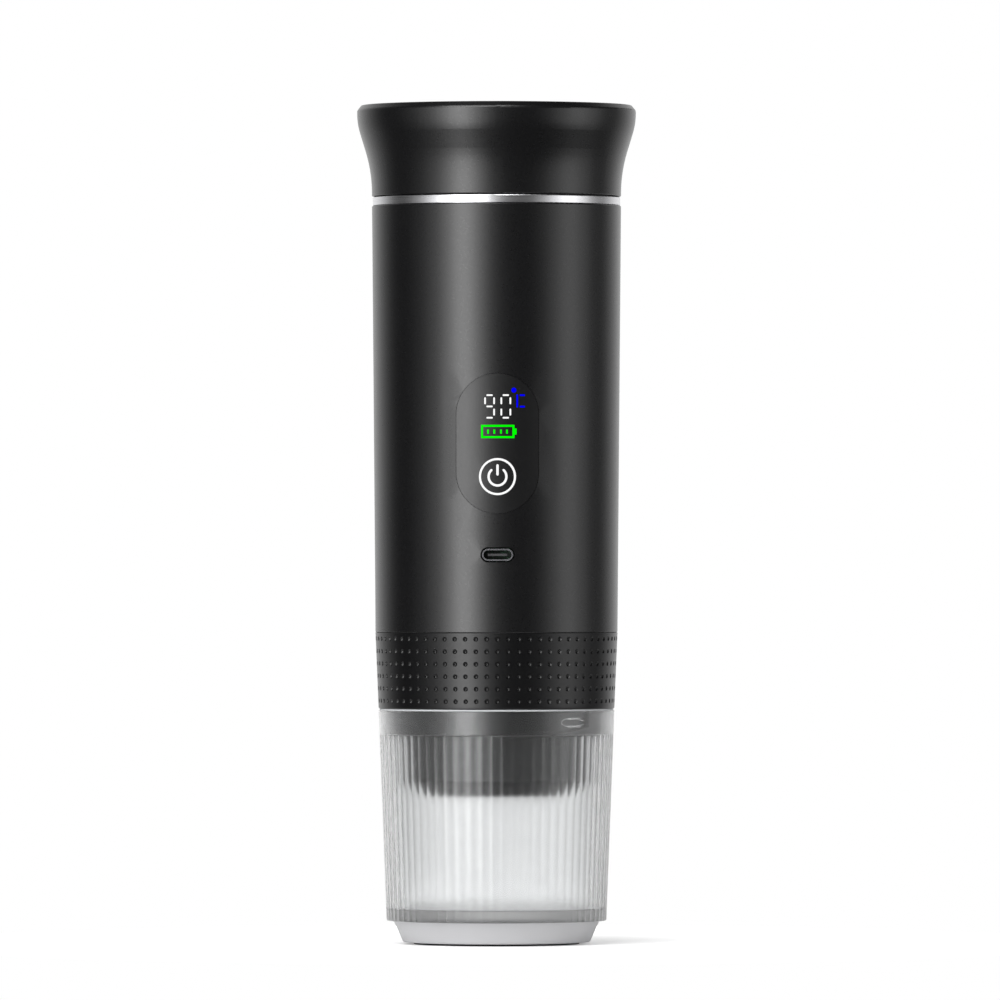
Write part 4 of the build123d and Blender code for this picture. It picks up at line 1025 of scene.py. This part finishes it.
@dataclass(frozen=True)
class Softbox:
    """A rectangular lamp that faces the object.

    Attributes:
        name: Name of the lamp.
        azimuth: Degrees to the right of the camera, seen from the object.
        elevation: Degrees above the middle of the object.
        distance: Metres from the object.
        width: Metres across.
        height: Metres up.
        radiance: Brightness of its face, where one is white.
    """

    name: str
    azimuth: float
    elevation: float
    distance: float
    width: float
    height: float
    radiance: float

    def place(self, target: Vector) -> None:
        """Hangs the lamp and turns it to the target.

        Args:
            target: Point that the lamp faces.
        """
        side, rise = math.radians(self.azimuth), math.radians(self.elevation)
        aim = Vector((math.sin(side) * math.cos(rise), -math.cos(side) * math.cos(rise), math.sin(rise)))
        lamp = bpy.data.lights.new(self.name, "AREA")
        lamp.shape = "RECTANGLE"
        lamp.size, lamp.size_y = self.width, self.height
        lamp.energy = LAMP_POWER * self.width * self.height * self.radiance
        holder = bpy.data.objects.new(self.name, lamp)
        holder.location = target + aim * self.distance
        holder.rotation_euler = (-aim).to_track_quat("-Z", "Y").to_euler()
        holder.visible_camera = False
        bpy.context.scene.collection.objects.link(holder)


@dataclass
class Studio:
    """White studio: camera, softboxes, surroundings and a pale floor."""

    camera_distance: float = 3.8
    camera_height: float = 0.12
    camera_turn: float = -0.46
    lens: float = 456.8
    sensor: float = 36.0
    clip: Pair = (0.05, 100.0)
    shift: Pair = (0.0035, 0.043)
    target: Floats = (0.0, 0.0, 0.13)
    floor_radius: float = 0.18
    floor_drop: float = 0.00005
    floor_sides: int = 64
    floor_rings: int = 21
    floor_ramp: Pair = (0.03, 0.17)
    floor_low: float = 0.3
    front: float = 0.02
    fill: float = 0.5
    back_ramp: Pair = (0.28, 1.0)
    side_ramp: Pair = (-0.3, 0.3)
    through_ramp: Pair = (0.93, 1.0)
    through_low: float = 0.6
    lamps: tuple[Softbox, ...] = (
        Softbox("key_core", -31.0, 4.0, 1.3, 0.41, 1.35, 2.8),
        Softbox("key_middle", -32.0, 4.0, 1.3, 0.95, 1.35, 1.25),
        Softbox("key_edge", -37.0, 4.0, 1.3, 1.56, 1.35, 0.42),
        Softbox("key_fringe", -40.0, 4.0, 1.3, 2.5, 1.35, 0.12),
        Softbox("side_core", 70.0, 4.0, 1.3, 0.46, 0.98, 0.65),
        Softbox("side_middle", 71.0, 4.0, 1.3, 1.1, 0.98, 0.5),
        Softbox("side_edge", 73.0, 4.0, 1.3, 1.96, 0.98, 0.15),
        Softbox("overhead", -24.0, 50.0, 1.2, 0.8, 0.5, 5.0),
    )

    def camera(self) -> None:
        """Sets a level camera a long way off, a little to the left, framed by its shift for a square picture."""
        eye = bpy.data.cameras.new("camera")
        eye.lens, eye.sensor_width, eye.sensor_fit = self.lens, self.sensor, "HORIZONTAL"
        eye.shift_x, eye.shift_y = self.shift
        eye.clip_start, eye.clip_end = self.clip
        holder = bpy.data.objects.new("camera", eye)
        turn = math.radians(self.camera_turn)
        holder.location = (
            self.camera_distance * math.sin(turn), -self.camera_distance * math.cos(turn), self.camera_height
        )
        holder.rotation_euler = (math.pi / 2, 0.0, turn)
        bpy.context.scene.collection.objects.link(holder)
        bpy.context.scene.camera = holder

    def seen(self, tree: NodeTree, path: Node) -> NodeSocket:
        """Gives one for rays from the camera, or straight through something clear, and nought for others.

        Args:
            tree: Node tree that takes the nodes.
            path: Its Light Path node.

        Returns:
            A value socket.
        """
        straight = calc(tree, "LESS_THAN", path.outputs["Glossy Depth"], 0.5)
        through = calc(tree, "MULTIPLY", path.outputs["Is Transmission Ray"], straight)
        return calc(tree, "MAXIMUM", path.outputs["Is Camera Ray"], through)

    def surroundings(self) -> None:
        """Sets the world by the direction's part along +Y.

        The camera sees white. Rays through something clear see white behind the object, which fades to the sides, matt
        surfaces get an even fill, and gloss sees a dark front that turns white behind the object.
        """
        world = bpy.data.worlds.new("white_studio")
        bpy.context.scene.world = world
        tree = empty_tree(world)
        path = add_node(tree, "ShaderNodeLightPath", {})
        camera, gloss, clear = (path.outputs[f"Is {kind} Ray"] for kind in ("Camera", "Glossy", "Transmission"))
        way = add_node(tree, "ShaderNodeTexCoord", {}).outputs["Generated"]
        along = add_node(tree, "ShaderNodeSeparateXYZ", {"Vector": way}).outputs["Y"]
        back = ramp(tree, along, self.back_ramp, (self.front, 1.0))
        beside = ramp(tree, along, self.side_ramp, (self.front, 1.0))
        behind = ramp(tree, along, self.through_ramp, (self.through_low, 1.0))
        bent = add_node(tree, "ShaderNodeMix", {0: clear, 2: back, 3: beside}).outputs[0]
        mirrored = calc(tree, "MAXIMUM", gloss, clear)
        unseen = add_node(tree, "ShaderNodeMix", {0: mirrored, 2: self.fill, 3: bent}).outputs[0]
        shown = calc(tree, "MAXIMUM", camera, behind)
        level = add_node(tree, "ShaderNodeMix", {0: self.seen(tree, path), 2: unseen, 3: shown}).outputs[0]
        glow = add_node(tree, "ShaderNodeBackground", {"Color": linear(WHITE), "Strength": level})
        add_node(tree, "ShaderNodeOutputWorld", {"Surface": glow.outputs["Background"]})

    def floor(self) -> None:
        """Lays a round pale floor of rings, dense near the object, with a lift in the seen light.

        The radius of ring t, from nought to one, is the floor's radius times t squared.
        """
        turn = angles(self.floor_sides)[None, :]
        reach = (self.floor_radius / MM * np.linspace(0, 1, self.floor_rings) ** 2)[:, None]
        points = around(reach, turn, np.full((1, 1), -self.floor_drop / MM))
        piece = make_piece("studio_floor", [Surface(points, round_columns=True)])
        made = bpy.data.materials.new("matt_white_paper")
        tree = empty_tree(made)
        spot = add_node(tree, "ShaderNodeTexCoord", {}).outputs["Object"]
        away = add_node(tree, "ShaderNodeVectorMath", {0: spot}, operation="LENGTH").outputs["Value"]
        lift = ramp(tree, away, self.floor_ramp, (self.floor_low, 1.0))
        shown = calc(tree, "MULTIPLY", lift, self.seen(tree, add_node(tree, "ShaderNodeLightPath", {})))
        shader = add_node(tree, "ShaderNodeBsdfPrincipled", {
            "Base Color": linear("#f2f2f2"), "Roughness": 0.9, "Specular IOR Level": 0.1,
            "Emission Color": linear(WHITE), "Emission Strength": shown,
        })
        add_node(tree, "ShaderNodeOutputMaterial", {"Surface": shader.outputs["BSDF"]})
        piece.data.materials.append(made)

    def build(self) -> None:
        """Sets up the camera, light, surroundings and floor, with plain colour handling."""
        bpy.context.scene.view_settings.view_transform = "Standard"
        self.camera()
        self.surroundings()
        self.floor()
        for lamp in self.lamps:
            lamp.place(Vector(self.target))


def main() -> None:
    """Builds the studio and the object's pieces in order."""
    logging.basicConfig(level=logging.INFO, format="%(name)s: %(message)s")
    Studio().build()
    for part in (Cup(), BrewChamber()):
        part.dress(part.build())
    housing, key = Housing(), PowerKey()
    housing.build()
    housing.dress()
    Display().build()
    key.build()
    key.dress()
    Lid().dress()


if __name__ == "__main__":
    main()
